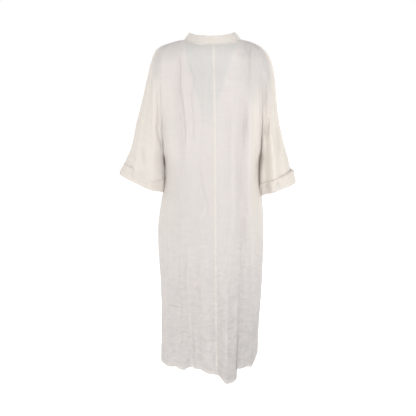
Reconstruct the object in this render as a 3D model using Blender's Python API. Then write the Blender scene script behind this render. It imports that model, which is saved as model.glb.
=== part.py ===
"""Midi dress in light linen: band collar, open V front, cut-on elbow sleeves
with turned-up cuffs, straight body with a centre back seam and side slits.

It keeps the hollow form of a worn garment.  Metres, +Z up, the front faces
-Y and the wearer's left is +X.  The origin lies between the shoulders, at the
height where they carry the cloth.

Every piece is a cloth wall.  Its points are worked out on level sections: a
body lobe and a sleeve lobe that meet in a crease down to the underarm point,
and separate tubes below it.
"""
import math

import bmesh
import bpy
import numpy as np

# ------------------------------------------------------------------ sizes
MM = 0.001
WALL = 2.0 * MM            # cloth thickness
SEAM_GAP = 0.32 * MM       # between two pieces along a seam
NECK_BACK_Y = 68 * MM      # centre back neck point
NECK_BACK_Z = 2 * MM
NECK_SIDE_Z = 18 * MM      # where the shoulder line meets the neck
V_TOP = (82 * MM, -30 * MM, 9 * MM)   # upper end of the V edge (x per side)
COLLAR_HEIGHT = 27 * MM
COLLAR_LIFT = 0.6 * MM     # of the collar's lower edge over the neck line
CUFF_HEIGHT = 39 * MM
CUFF_CLEAR = 0.6 * MM      # between sleeve and cuff where they lie closest
YOKE_Z = -60 * MM          # first level section below the shoulder line
ARMPIT_Z = -358 * MM
SLIT_TOP_Z = -965 * MM
SLIT_OPEN = 3.0 * MM       # each slit edge moves this far back at the hem
HEM_Z = -1055 * MM
SLEEVE_SEAM_Y = -12 * MM   # the sleeves hang a little forward

# Outer line from the neck point over the shoulder to the cuff (mm).
OUTLINE = [
    # z,    left,  right
    (18,    88.0,  90.0),
    (14,   111.0, 110.0),
    (8,    133.0, 129.0),
    (2,    150.0, 142.5),
    (-5,   165.5, 154.5),
    (-16,  179.5, 167.5),
    (-30,  187.5, 179.5),
    (-60,  198.5, 193.0),
    (-110, 211.5, 202.5),
    (-170, 225.5, 207.5),
    (-240, 245.0, 216.5),
    (-300, 257.5, 230.0),
    (-335, 266.5, 239.5),
    (-358, 277.5, 247.0),
    (-380, 288.0, 252.5),
    (-414, 304.0, 260.5),
    (-446, 312.0, 270.0),
]
SHOULDER_TIP_Z = -5 * MM

# Level sections above the underarm point (mm): depth at the centre, the
# crease between body and sleeve, and how far the body lobe turns (0 to 1).
UPPER = [
    # z,   back, front, crease_x_left, crease_x_right, crease_back, crease_front, turn, sleeve_depth
    (-60,   97,  -86,  160.0, 153.5,  61, -55, 0.46, 50),
    (-110, 110, -106,  160.5, 155.5,  62, -61, 0.60, 54),
    (-170, 117, -121,  160.5, 157.0,  59, -62, 0.74, 56),
    (-240, 118, -125,  159.5, 158.0,  51, -54, 0.86, 57),
    (-300, 115, -121,  157.5, 157.5,  38, -42, 0.94, 57),
    (-335, 113, -118,  156.0, 157.0,  23, -29, 0.98, 57),
    (-358, 112, -116,  154.5, 155.5,   0,   0, 1.00, 56),
]
UNDERARM_Y = {"L": 2 * MM, "R": -8 * MM}

# Body sections below the underarm point (mm).
LOWER = [
    # z,   back, front, left,  right, box (1 = ellipse, less = squarer), seam_left, seam_right (degrees)
    (-358, 112, -116, 154.5, 155.5, 1.00, 90, 90),
    (-400, 112, -115, 152.5, 153.5, 0.98, 84, 90),
    (-450, 113, -114, 155.5, 156.0, 0.95, 74, 91),
    (-490, 115, -113, 164.5, 163.5, 0.93, 66, 92),
    (-540, 117, -113, 171.5, 167.5, 0.91, 62, 93),
    (-610, 120, -114, 176.5, 170.0, 0.90, 60, 94),
    (-700, 121, -116, 175.0, 169.5, 0.89, 60, 94),
    (-800, 121, -118, 171.0, 166.5, 0.89, 61, 94),
    (-900, 121, -119, 170.0, 162.0, 0.89, 62, 94),
    (-980, 121, -120, 172.0, 159.5, 0.90, 62, 93),
    (-1055, 122, -121, 174.0, 157.5, 0.91, 62, 93),
    (-1100, 122, -121, 174.0, 157.0, 0.91, 62, 93),
]

# Sleeve ends: the inner and the outer end of the cuff's lower edge (mm).
SLEEVE_END = [
    # side, inner_x, inner_z, outer_x, outer_z, depth
    ("L", 168.5, -470, 303.0, -414, 50),
    ("R", 167.5, -483, 269.0, -443, 52),
]
# How far each cuff stands off its sleeve (mm), at the outer and the inner end.
CUFF_PROUD = [
    # side, top_outer, top_inner, bottom_outer, bottom_inner
    ("L", 3.5, 1.6, 2.4, 1.4),
    ("R", 9.0, 1.6, 6.5, 1.4),
]

# V edge of the front opening (mm), down to its lowest point.
V_EDGE = [
    # z,    left, right
    (9,     82.0, -82.0),
    (-30,   77.0, -70.0),
    (-60,   72.5, -60.0),
    (-110,  60.0, -41.5),
    (-170,  41.5, -18.0),
    (-225,  19.0,   7.0),
    (-240,  13.0,  13.0),
]
V_POINT_Z = -240 * MM

# Centre back seam and centre front line (mm).
CENTRE = [
    # z,    back_x, front_x
    (20,    -2,  13),
    (-110,  -6,  13),
    (-240,  -8,  13),
    (-460, -10,   9),
    (-760, -12,   4),
    (-1100, -17,  0),
]

# The largest folds (mm).  Each runs through three points; a ridge has a
# positive height and a trough a negative one.
FOLDS = [
    # face, name,            x0,   z0,   x1,   z1,    x2,    z2, width, height
    ("B", "long_trough",    -98, -130, -97,  -520,  -78, -1100,  17, -15),
    ("B", "trough_bulge",   -66, -150, -66,  -520,  -44, -1100,  24,   6),
    ("B", "hem_bulge",      -44, -760, -46,  -940,  -46, -1100,  26,  13),
    ("B", "left_trough",    112,  -20, 101,  -250,  100,  -440,  14,  -7),
    ("B", "left_column",    101,  -60, 101,  -520,   94, -1100,  14,   2),
    ("B", "left_ridge",      92,  -40,  84,  -250,   84,  -420,  16,   4),
    ("B", "low_left_ridge",  82, -620,  74,  -860,   66, -1100,  14,   8),
    ("B", "low_left_dip",    58, -640,  50,  -860,   40, -1100,  18,  -5),
    ("B", "side_fold_right",-146, -60, -147, -300, -150,  -560,   9,   7),
    ("B", "side_dip_right",-126, -100, -126, -400, -124,  -700,  10,  -5),
    ("B", "low_right_dip",  -128, -640,-122, -860, -116, -1100,  14,  -6),
    ("F", "front_trough_a",  96, -210,  84,  -560,   88, -1100,  20, -10),
    ("F", "front_ridge_a",   40, -420,  34,  -760,   26, -1100,  26,   8),
    ("F", "front_trough_b", -74, -200, -64,  -520,  -60, -1100,  18, -11),
    ("F", "front_ridge_b", -108, -330,-100,  -700,  -98, -1100,  20,   9),
    ("F", "front_trough_c",  -8, -560, -12,  -800,  -18, -1100,  20,  -7),
]
# Soft folds of the sleeves, as a share of the way from crease to outer line.
SLEEVE_FOLDS = [
    # side, face, name,    share_top, share_end, z_top, z_end, width, height (mm)
    ("L", "B", "long_fold",   0.60, 0.60, -110, -400, 0.16, -6),
    ("L", "B", "inner_roll",  0.28, 0.26, -180, -470, 0.20,  4),
    ("R", "B", "bright_roll", 0.42, 0.44,  -80, -440, 0.20,  8),
    ("R", "B", "inner_dip",   0.16, 0.18,  -90, -440, 0.13, -7),
    ("R", "B", "outer_dip",   0.72, 0.68, -120, -440, 0.14, -6),
    ("L", "F", "front_fold",  0.52, 0.50, -120, -420, 0.18, -6),
    ("R", "F", "front_fold",  0.58, 0.54, -110, -430, 0.18, -6),
]
# Hem height of the back by distance from the centre (mm).
HEM_LINE = [
    # x,    z
    (-180, -1026),
    (-151, -1025),
    (-146, -1036),
    (-140, -1042),
    (-133, -1053),
    (-108, -1049),
    (-84,  -1050),
    (-80,  -1058),
    (-77,  -1078),
    (-71,  -1086),
    (-62,  -1086),
    (-52,  -1086),
    (-42,  -1084),
    (-33,  -1076),
    (-20,  -1062),
    (-6,   -1061),
    (13,   -1058),
    (24,   -1053),
    (39,   -1046),
    (57,   -1043),
    (65,   -1034),
    (78,   -1040),
    (92,   -1051),
    (106,  -1051),
    (119,  -1045),
    (139,  -1051),
    (153,  -1053),
    (160,  -1044),
    (164,  -1034),
    (169,  -1029),
    (180,  -1030),
]

# Grid density of the cloth walls.
NECK_COLUMNS = {"B": 7, "F": 2}
NECK_SHARE = {"B": 0.74, "F": 0.56}   # of the body lobe below the neck line
SHOULDER_COLUMNS = 6       # from the neck point to the crease
# A column of a piece that follows the line of its main fold.
GUIDES = {("R", "B"): (7, "long_trough"), ("L", "B"): (7, "left_column"),
          ("L", "F"): (4, "front_trough_a"), ("R", "F"): (3, "front_trough_b")}
SLEEVE_COLUMNS = 6         # from the crease to the outer line
YOKE_ROWS = 5
LEVEL_ROWS = [-60, -88, -118, -150, -184, -218, -252, -284, -310, -330, -346, -358]
BODY_ROWS = [-358, -374, -398, -424, -452, -480, -508, -540, -580, -624, -670,
             -718, -768, -818, -868, -916, -965, -992, -1024, -1055]
FREE_SLEEVE_ROWS = 2       # from the underarm to the top of the cuff
CUFF_ROWS = 3


# ---------------------------------------------------------------- helpers
def column(table, key, value):
    """Value of one column of a table at a height, on a smooth curve."""
    keys = [row[0] * MM for row in table]
    vals = [row[key] for row in table]
    if keys[0] > keys[-1]:
        keys, vals = keys[::-1], vals[::-1]
    if value <= keys[0]:
        return vals[0]
    if value >= keys[-1]:
        return vals[-1]
    i = max(k for k in range(len(keys) - 1) if keys[k] <= value)
    h = keys[i + 1] - keys[i]

    def slope(k):
        if k == 0 or k == len(keys) - 1:
            a, b = (0, 1) if k == 0 else (k - 1, k)
            return (vals[b] - vals[a]) / (keys[b] - keys[a])
        s0 = (vals[k] - vals[k - 1]) / (keys[k] - keys[k - 1])
        s1 = (vals[k + 1] - vals[k]) / (keys[k + 1] - keys[k])
        return 0.0 if s0 * s1 <= 0 else 2 * s0 * s1 / (s0 + s1)

    t = (value - keys[i]) / h
    m0, m1 = slope(i) * h, slope(i + 1) * h
    return ((2 * t**3 - 3 * t**2 + 1) * vals[i] + (t**3 - 2 * t**2 + t) * m0
            + (-2 * t**3 + 3 * t**2) * vals[i + 1] + (t**3 - t**2) * m1)


def side_sign(side):
    return 1.0 if side == "L" else -1.0


def outline_x(side, z):
    return column(OUTLINE, 1 if side == "L" else 2, z) * MM


def smooth(t):
    t = min(1.0, max(0.0, t))
    return t * t * (3 - 2 * t)


def bump(d):
    """Soft profile across a fold, 1 on its line and 0 one width away."""
    return math.exp(-2.2 * d * d) if abs(d) < 2.2 else 0.0


def fold_height(face, x, z):
    """Height of all folds of one face at a place, away from the body."""
    total = 0.0
    for row in FOLDS:
        if row[0] != face:
            continue
        x0, z0, x1, z1, x2, z2, width, height = (v * MM for v in row[2:])
        if z > z0 + 0.03 or z < z2 - 0.02:
            continue
        t = (z - z0) / (z1 - z0) if z > z1 else 1 + (z - z1) / (z2 - z1)
        line = (x0 + (x1 - x0) * t if t < 1 else x1 + (x2 - x1) * (t - 1))
        fade = smooth((z0 + 0.03 - z) / 0.15)
        if z2 > -1.0:
            fade *= smooth((z - z2 + 0.02) / 0.15)
        total += height * fade * bump((x - line) / width)
    return total


def sleeve_fold_height(side, face, share, z):
    total = 0.0
    for row in SLEEVE_FOLDS:
        if row[0] != side or row[1] != face:
            continue
        s0, s1, z0, z1, width, height = row[3:]
        z0, z1, height = z0 * MM, z1 * MM, height * MM
        t = min(1.2, max(0.0, (z - z0) / (z1 - z0)))
        fade = smooth((z0 + 0.02 - z) / 0.10)
        total += height * fade * bump((share - s0 - (s1 - s0) * t) / width)
    return total


# --------------------------------------------------- points on the sections
def body_arc(side, face, z, share, start=None):
    """Point of the body lobe: share 0 at the centre, 1 at crease or seam."""
    s = side_sign(side)
    out = 1.0 if face == "B" else -1.0
    if z >= ARMPIT_Z:
        depth = column(UPPER, 1 if face == "B" else 2, z) * MM
        wide = column(UPPER, 3 if side == "L" else 4, z) * MM
        crease = column(UPPER, 5 if face == "B" else 6, z) * MM
        near = 1 - column(UPPER, 7, z)
        crease += UNDERARM_Y[side] * smooth(1 - near / 0.2)
        turn = column(UPPER, 7, z) * math.pi / 2
        first = 0.0
        if start is not None:
            first = math.asin(min(1, max(-1, start / wide * math.sin(turn))))
        a = first + (turn - first) * share
        x = wide * math.sin(a) / math.sin(turn)
        y = crease + (depth - crease) * (math.cos(a) - math.cos(turn)) / (1 - math.cos(turn))
        edge = abs(x) / wide
    else:
        depth = column(LOWER, 1 if face == "B" else 2, z) * MM
        wide = column(LOWER, 3 if side == "L" else 4, z) * MM
        box = column(LOWER, 5, z)
        seam = math.radians(column(LOWER, 6 if side == "L" else 7, z))
        last = seam if face == "B" else math.pi - seam
        mid = UNDERARM_Y[side] * smooth((z + 0.5) / 0.14)
        first = 0.0
        if start is not None:
            g = start / wide
            first = math.copysign(math.asin(min(1.0, abs(g)) ** (1 / box)), g)
        a = first + (last - first) * share
        x = wide * math.copysign(abs(math.sin(a)) ** box, math.sin(a))
        y = mid + ((depth - mid) if math.cos(a) > 0
                   else (mid - column(LOWER, 2 if face == "B" else 1, z) * MM) * 1.0) \
            * abs(math.cos(a)) ** box * (1 if math.cos(a) > 0 else (-out * out))
        edge = abs(x) / wide
        if math.cos(a) <= 0:
            edge = 1.0
    calm = max(0.0, 1 - edge ** 10)
    y += out * calm * fold_height(face, s * x, z)
    return np.array([s * x, y, z])


def sleeve_arc(side, face, z, share):
    """Point of the sleeve lobe above the underarm: 0 at crease, 1 outside."""
    s = side_sign(side)
    out = 1.0 if face == "B" else -1.0
    crease = body_arc(side, face, z, 1.0)
    far = outline_x(side, z)
    near = abs(crease[0])
    turn = column(UPPER, 7, z) * math.pi / 2
    depth = column(UPPER, 8, z) * MM
    a0 = -turn
    a = a0 + (math.pi / 2 - a0) * share
    x = near + (far - near) * (math.sin(a) - math.sin(a0)) / (1 - math.sin(a0))
    rest = crease[1] - SLEEVE_SEAM_Y - out * depth * math.cos(a0)
    y = SLEEVE_SEAM_Y + out * depth * math.cos(a) + rest * (1 - share) ** 2
    calm = (4 * share * (1 - share)) ** 0.5
    y += out * calm * sleeve_fold_height(side, face, (x - near) / (far - near), z)
    return np.array([s * x, y, z])


def sleeve_tube(side, face, along_in, along_out, share):
    """Point of the free sleeve between the underarm and the cuff's edge."""
    s = side_sign(side)
    out = 1.0 if face == "B" else -1.0
    end = [row for row in SLEEVE_END if row[0] == side][0]
    pit = body_arc(side, "B", ARMPIT_Z, 1.0)
    inner1 = np.array([s * end[1] * MM, SLEEVE_SEAM_Y, end[2] * MM])
    inner = pit + (inner1 - pit) * along_in
    inner[0] += s * 2.2 * MM * math.sin(math.pi * min(1, along_in * 1.1)) ** 0.7
    z_out = ARMPIT_Z + (end[4] * MM - ARMPIT_Z) * along_out
    x_out = outline_x(side, z_out)
    x_out += (end[3] * MM - outline_x(side, end[4] * MM)) * smooth(along_out)
    outer = np.array([s * x_out, SLEEVE_SEAM_Y, z_out])
    depth0 = column(UPPER, 8, ARMPIT_Z) * MM
    mean = (along_in + along_out) / 2
    depth = depth0 + (end[5] * MM - depth0) * smooth(mean)
    a = -math.pi / 2 + math.pi * share
    k = (math.sin(a) + 1) / 2
    p = inner * (1 - k) + outer * k
    p[1] = inner[1] * (1 - share) ** 2 + outer[1] * (1 - (1 - share) ** 2) + out * depth * math.cos(a)
    calm = (4 * share * (1 - share)) ** 0.5
    p[1] += out * calm * sleeve_fold_height(side, face, k, p[2])
    return p


def neck_point(side, face, share):
    """Neck line: share 0 at the centre back or the V, 1 at the shoulder."""
    s = side_sign(side)
    nx = outline_x(side, NECK_SIDE_Z)
    cb = column(CENTRE, 1, 0.0) * MM
    if face == "B":
        a = share * math.pi / 2
        lean = cb * math.cos(a) ** 2
        return np.array([s * nx * math.sin(a) + lean, NECK_BACK_Y * math.cos(a) ** 0.9 if share < 1 else 0.0,
                         NECK_BACK_Z + (NECK_SIDE_Z - NECK_BACK_Z) * math.sin(a) ** 3])
    vx, vy, vz = V_TOP
    return np.array([s * (vx + (nx - vx) * math.sin(share * math.pi / 2)),
                     vy * (1 - share), vz + (NECK_SIDE_Z - vz) * share])


def shoulder_point(side, share):
    """Shoulder line from the neck (0) to the tip (1)."""
    s = side_sign(side)
    z0, z1 = NECK_SIDE_Z, SHOULDER_TIP_Z
    x0, x1 = outline_x(side, z0), outline_x(side, z1)
    x = x0 + (x1 - x0) * share
    lo, hi = z1, z0
    for _ in range(40):
        mid = (lo + hi) / 2
        if outline_x(side, mid) > x:
            lo = mid
        else:
            hi = mid
    return np.array([s * x, SLEEVE_SEAM_Y * smooth(share), (lo + hi) / 2])


def centre_x(face, z):
    return column(CENTRE, 1 if face == "B" else 2, z) * MM


def v_x(side, z):
    return column(V_EDGE, 1 if side == "L" else 2, z) * MM


# ------------------------------------------------------------- panel grids
def upper_columns(face):
    return NECK_COLUMNS[face] + SHOULDER_COLUMNS + SLEEVE_COLUMNS


def seam_column(face):
    return NECK_COLUMNS[face] + SHOULDER_COLUMNS


def fold_line(name, z):
    """Distance from the centre of one fold's line at a height."""
    row = [r for r in FOLDS if r[1] == name][0]
    x0, z0, x1, z1, x2, z2 = (v * MM for v in row[2:8])
    if z > z1:
        return x0 + (x1 - x0) * (z - z0) / (z1 - z0)
    return x1 + (x2 - x1) * (z - z1) / (z2 - z1)


def share_at(side, face, z, x, start):
    """Share of the body lobe that lies at a distance from the centre."""
    lo, hi = 0.0, 1.0
    for _ in range(24):
        mid = (lo + hi) / 2
        if abs(body_arc(side, face, z, mid, start)[0]) < x:
            lo = mid
        else:
            hi = mid
    return (lo + hi) / 2


def spread(side, face, z, j, start):
    """Share of the body lobe at a column.  Columns fan out from the neck line,
    and lower down one of them follows the main fold of that piece."""
    nn, nb = NECK_COLUMNS[face], seam_column(face)
    neck = NECK_SHARE[face]
    led = neck * j / nn if j <= nn else neck + (1 - neck) * (j - nn) / (nb - nn)
    guide = GUIDES.get((side, face))
    if guide:
        col, name = guide
        at = share_at(side, face, z, abs(fold_line(name, z)), start)
        even = at * j / col if j <= col else at + (1 - at) * (j - col) / (nb - col)
    else:
        even = j / nb
    return led + (even - led) * smooth((YOKE_Z - z) / 0.20)


def level_point(side, face, z, j):
    nb = seam_column(face)
    if j <= nb:
        inside = centre_x("B", z) if face == "B" else v_x(side, z)
        if face == "F" and z < V_POINT_Z:
            inside = centre_x("F", z)
        start = side_sign(side) * inside
        return body_arc(side, face, z, spread(side, face, z, j, start), start)
    return sleeve_arc(side, face, z, (j - nb) / SLEEVE_COLUMNS)


def upper_point(side, face, i, j):
    """Point of the part above the underarm: row i from the top, column j."""
    if i >= YOKE_ROWS:
        return level_point(side, face, LEVEL_ROWS[i - YOKE_ROWS] * MM, j)
    nn = NECK_COLUMNS[face]
    n = upper_columns(face)
    top = (neck_point(side, face, j / nn) if j <= nn
           else shoulder_point(side, (j - nn) / (n - nn)))
    low = level_point(side, face, YOKE_Z, j)
    a = i / YOKE_ROWS * math.pi / 2
    p = np.empty(3)
    v = min(1.0, max(0.0, (j - nn) / (n - nn)))
    p[0] = top[0] + (low[0] - top[0]) * (i / YOKE_ROWS * v + math.sin(a) * (1 - v))
    p[1] = top[1] + (low[1] - top[1]) * math.sin(a)
    even = 0.5 * (1 - v) * i / YOKE_ROWS
    p[2] = top[2] + (low[2] - top[2]) * (even + (1 - 0.5 * (1 - v)) * (1 - math.cos(a)))
    if j == n and i > 0:
        p[0] = side_sign(side) * outline_x(side, p[2])
    elif j > nn and i > 0:
        edge_top = shoulder_point(side, 1.0)
        edge_z = edge_top[2] + (YOKE_Z - edge_top[2]) * (1 - math.cos(a))
        straight = abs(edge_top[0]) + (outline_x(side, YOKE_Z) - abs(edge_top[0])) * (i / YOKE_ROWS)
        p[0] += side_sign(side) * (outline_x(side, edge_z) - straight) * v ** 2
    if face == "F" and j == 0 and i > 0:
        p[0] = v_x(side, p[2])
    return p


def hem_shift(face, x, z):
    """Rows near the hem follow the uneven hem line of the back."""
    if face != "B":
        return 0.0
    xs = [row[0] * MM for row in HEM_LINE]
    zs = [row[1] * MM for row in HEM_LINE]
    line = float(np.interp(x, xs, zs))
    return (line - HEM_Z) * smooth((-0.80 - z) / 0.22)


def lower_point(side, face, i, j):
    z = BODY_ROWS[i] * MM
    nb = seam_column(face)
    start = side_sign(side) * centre_x(face, z)
    p = body_arc(side, face, z, spread(side, face, z, j, start), start)
    seam = body_arc(side, face, z, 1.0)
    edge_shift = hem_shift("B", seam[0], z)
    if face == "B":
        p[2] += hem_shift("B", p[0], z)
    else:
        p[2] += edge_shift * smooth((j / nb - 0.5) * 2)
    return p


def sleeve_rows(side):
    """Shares of the inner and outer seam at each row of the free sleeve."""
    end = [row for row in SLEEVE_END if row[0] == side][0]
    pit = body_arc(side, "B", ARMPIT_Z, 1.0)
    inner_len = math.dist((abs(pit[0]), pit[2]), (end[1] * MM, end[2] * MM))
    outer_len = math.dist((outline_x(side, ARMPIT_Z), ARMPIT_Z), (end[3] * MM, end[4] * MM))
    ci, co = 1 - CUFF_HEIGHT / inner_len, 1 - CUFF_HEIGHT / outer_len
    rows = [(ci * k / FREE_SLEEVE_ROWS, co * k / FREE_SLEEVE_ROWS) for k in range(FREE_SLEEVE_ROWS)]
    rows += [(ci + (1 - ci) * k / CUFF_ROWS, co + (1 - co) * k / CUFF_ROWS) for k in range(CUFF_ROWS + 1)]
    return rows


class Cloth:
    """The whole cloth surface; pieces share its seam points and normals."""

    def __init__(self):
        self.index = {}
        self.points = []
        self.faces = {}

    def vertex(self, key, point):
        if key not in self.index:
            self.index[key] = len(self.points)
            self.points.append(np.array(point, dtype=float))
        return self.index[key]

    def quad(self, panel, ids, flip):
        ids = list(dict.fromkeys(ids))
        if len(ids) < 3:
            return
        self.faces.setdefault(panel, []).append(ids[::-1] if flip else ids)

    def normals(self):
        pts = np.array(self.points)
        n = np.zeros_like(pts)
        for faces in self.faces.values():
            for f in faces:
                v = pts[f]
                c = np.zeros(3)
                for k in range(len(f)):
                    c += np.cross(v[k] - v[0], v[(k + 1) % len(f)] - v[0])
                for k in f:
                    n[k] += c
        for key, k in self.index.items():
            if key[0] == "pit":            # body and sleeve part here, downwards
                n[k] = (0.0, 0.0, -1.0)
        return n / np.linalg.norm(n, axis=1)[:, None]


def key_for(side, face, block, i, j):
    """Seam points carry one key for both of the pieces that meet there."""
    nn, nb, n = NECK_COLUMNS[face], seam_column(face), upper_columns(face)
    last_level = YOKE_ROWS + len(LEVEL_ROWS) - 1
    if block == "U":
        if i == 0 and j >= nn:
            return ("shoulder", side, j - nn)
        if j == n:
            return ("overarm", side, i)
        if i == last_level and j == nb:
            return ("pit", side)
        if j == 0 and face == "B":
            return ("cb", "U", i)
        if j == 0 and face == "F" and i >= YOKE_ROWS and LEVEL_ROWS[i - YOKE_ROWS] * MM <= V_POINT_Z:
            return ("cf", "U", i)
        return (side, face, "U", i, j)
    if block == "B":
        if i == 0:
            return key_for(side, face, "U", last_level, j)
        if j == nb and BODY_ROWS[i] * MM > SLIT_TOP_Z - 1e-6:
            return ("sideseam", side, i)
        if j == 0:
            return ("cb" if face == "B" else "cf", "B", i)
        return (side, face, "B", i, j)
    if i == 0:
        return key_for(side, face, "U", last_level, j)
    if j == nb:
        return ("underarm", side, i)
    if j == n:
        return ("overarm", side, last_level + i)
    return (side, face, "S", i, j)


def make_cloth():
    cloth = Cloth()
    grids = {}
    for side in "LR":
        for face in "BF":
            panel = "front" if face == "F" else ("back_left" if side == "L" else "back_right")
            nb, n = seam_column(face), upper_columns(face)
            rows_u = YOKE_ROWS + len(LEVEL_ROWS)
            g = {}
            for i in range(rows_u):
                for j in range(n + 1):
                    g["U", i, j] = cloth.vertex(key_for(side, face, "U", i, j), upper_point(side, face, i, j))
            for i in range(len(BODY_ROWS)):
                for j in range(nb + 1):
                    key = key_for(side, face, "B", i, j)
                    g["B", i, j] = (cloth.index[key] if key in cloth.index
                                    else cloth.vertex(key, lower_point(side, face, i, j)))
            for i, (ai, ao) in enumerate(sleeve_rows(side)):
                for j in range(nb, n + 1):
                    key = key_for(side, face, "S", i, j)
                    g["S", i, j] = (cloth.index[key] if key in cloth.index else cloth.vertex(
                        key, sleeve_tube(side, face, ai, ao, (j - nb) / SLEEVE_COLUMNS)))
            flip = (side == "L") == (face == "B")
            for block, rows, j0, j1 in (("U", rows_u, 0, n), ("B", len(BODY_ROWS), 0, nb),
                                        ("S", len(sleeve_rows(side)), nb, n)):
                for i in range(rows - 1):
                    for j in range(j0, j1):
                        cloth.quad(panel, [g[block, i, j], g[block, i + 1, j],
                                           g[block, i + 1, j + 1], g[block, i, j + 1]], flip)
            grids[side, face] = g
    return cloth, grids


def wall(cloth, normals, panel, seam_ids, gap_of):
    """Closed wall of one piece: outer skin, inner skin and the edges."""
    pts = np.array(cloth.points)
    faces = cloth.faces[panel]
    used = sorted({k for f in faces for k in f})
    neighbours = {k: set() for k in used}
    edges = {}
    for f in faces:
        for a, b in zip(f, f[1:] + f[:1]):
            edges[a, b] = edges.get((a, b), 0) + 1
            neighbours[a].add(b)
            neighbours[b].add(a)
    rim = [(a, b) for (a, b) in edges if (b, a) not in edges]
    on_rim = {k for e in rim for k in e}
    shift = {}
    for k in used:
        shift[k] = np.zeros(3)
        if k in on_rim and k in seam_ids:
            inward = [m for m in neighbours[k] if m not in on_rim]
            if not inward:
                inward = [m for m in neighbours[k] if (k, m) not in rim and (m, k) not in rim]
            if not inward:
                near = [f for f in faces if k in f]
                inward = [m for f in near for m in f if m != k and m not in neighbours[k]]
            d = np.mean([pts[m] for m in inward], axis=0) - pts[k]
            d -= normals[k] * np.dot(d, normals[k])
            shift[k] = d / np.linalg.norm(d) * gap_of(k)
    number = {k: n for n, k in enumerate(used)}
    outer = [pts[k] + shift[k] for k in used]
    inner = [pts[k] + shift[k] - normals[k] * WALL for k in used]
    m = len(used)
    out = [[number[k] for k in f] for f in faces]
    out += [[number[k] + m for k in f][::-1] for f in faces]
    for a, b in rim:       # both pieces split a seam's edge face the same way
        na, nb_ = number[a], number[b]
        if a < b:
            out += [[nb_, na, na + m], [nb_, na + m, nb_ + m]]
        else:
            out += [[nb_, na, nb_ + m], [na, na + m, nb_ + m]]
    return outer + inner, out


def band(lower, upper, out_dirs, proud_low, proud_up, closed):
    """Closed wall between two lines; each is a row of points, moved out."""
    rows = len(lower)
    verts, faces = [], []
    for layer in (1.0, 0.0):
        for k in range(rows):
            verts.append(lower[k] + out_dirs[k] * (proud_low[k] + WALL * layer))
        for k in range(rows):
            verts.append(upper[k] + out_dirs[k] * (proud_up[k] + WALL * layer))
    last = rows if closed else rows - 1
    for k in range(last):
        a, b = k, (k + 1) % rows
        faces.append([a, b, rows + b, rows + a])
        faces.append([2 * rows + b, 2 * rows + a, 3 * rows + a, 3 * rows + b])
        faces.append([b, a, 2 * rows + a, 2 * rows + b])
        faces.append([rows + a, rows + b, 3 * rows + b, 3 * rows + a])
    if not closed:
        faces.append([0, rows, 3 * rows, 2 * rows])
        k = rows - 1
        faces.append([rows + k, k, 2 * rows + k, 3 * rows + k])
    return verts, faces


def cuff_wall(cloth, normals, grids, side):
    """Turned-up cuff: the sleeve's own points moved out, all round."""
    pts = np.array(cloth.points)
    proud = [row for row in CUFF_PROUD if row[0] == side][0]
    rows = sleeve_rows(side)
    first = FREE_SLEEVE_ROWS
    nb, n = seam_column("B"), upper_columns("B")
    nbf = seam_column("F")
    ring_rows = []
    for i in range(first, len(rows)):
        ring = [grids[side, "B"]["S", i, j] for j in range(nb, n + 1)]
        ring += [grids[side, "F"]["S", i, j] for j in range(nbf + SLEEVE_COLUMNS - 1, nbf, -1)]
        shares = [(j - nb) / SLEEVE_COLUMNS for j in range(nb, n + 1)]
        shares += [(j - nbf) / SLEEVE_COLUMNS for j in range(nbf + SLEEVE_COLUMNS - 1, nbf, -1)]
        ring_rows.append((i, ring, shares))
    verts, faces = [], []
    count = len(ring_rows[0][1])
    for layer in (1.0, 0.0):
        for i, ring, shares in ring_rows:
            t = (i - first) / CUFF_ROWS
            for k, sh in zip(ring, shares):
                outer = smooth((sh - 0.35) / 0.65)
                top = proud[2] + (proud[1] - proud[2]) * outer
                low = proud[4] + (proud[3] - proud[4]) * outer
                off = (top + (low - top) * t) * MM + CUFF_CLEAR - 0.6 * MM
                nrm = normals[k].copy()
                p = pts[k] + nrm * (off + WALL * layer)
                if i == len(rows) - 1:
                    p[2] -= 1.0 * MM
                verts.append(p)
    rows_n = len(ring_rows)
    flip = side == "R"

    def add(f):
        faces.append(f[::-1] if flip else f)

    m = rows_n * count
    for r in range(rows_n - 1):
        for c in range(count):
            d = (c + 1) % count
            a, b, e, f = r * count + c, (r + 1) * count + c, (r + 1) * count + d, r * count + d
            add([a, b, e, f])
            add([a + m, f + m, e + m, b + m])
    for c in range(count):
        d = (c + 1) % count
        add([c, d, d + m, c + m])
        top = (rows_n - 1) * count
        add([top + d, top + c, top + c + m, top + d + m])
    return verts, faces


def collar_wall():
    """Band collar from one top of the V, round the back, to the other."""
    lower = []
    for side, order in (("L", 1), ("R", -1)):
        nf, nbk = NECK_COLUMNS["F"], NECK_COLUMNS["B"]
        line = [neck_point(side, "F", k / nf) for k in range(nf)]
        line += [neck_point(side, "B", 1 - k / nbk) for k in range(nbk if side == "R" else nbk + 1)]
        lower += line if order == 1 else line[::-1]
    lower = [p + np.array([0, 0, COLLAR_LIFT]) for p in lower]
    count = len(lower)
    upper, outs = [], []
    for k, p in enumerate(lower):
        a = lower[max(0, k - 1)]
        b = lower[min(count - 1, k + 1)]
        along = (b - a) / np.linalg.norm(b - a)
        out = np.array([-along[1], along[0], 0.0])
        if np.dot(out, np.array([p[0], p[1] + 0.01, 0])) < 0:
            out = -out
        out /= np.linalg.norm(out)
        sideways = min(1.0, abs(p[0]) / 0.088) ** 2
        lean = math.radians(12 + 26 * sideways)
        up = np.array([-out[0] * math.sin(lean), -out[1] * math.sin(lean), math.cos(lean)])
        upper.append(p + up * COLLAR_HEIGHT)
        outs.append(out)
    zero = [-WALL] * count
    verts, faces = band(lower, upper, outs, zero, zero, False)
    return verts, faces


# ---------------------------------------------------------------- objects
FINISH = {
    # name:      colour,               roughness
    "cloth": ((0.86, 0.83, 0.77, 1.0), 0.86),
    "double_cloth": ((0.88, 0.84, 0.74, 1.0), 0.84),
}


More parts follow.
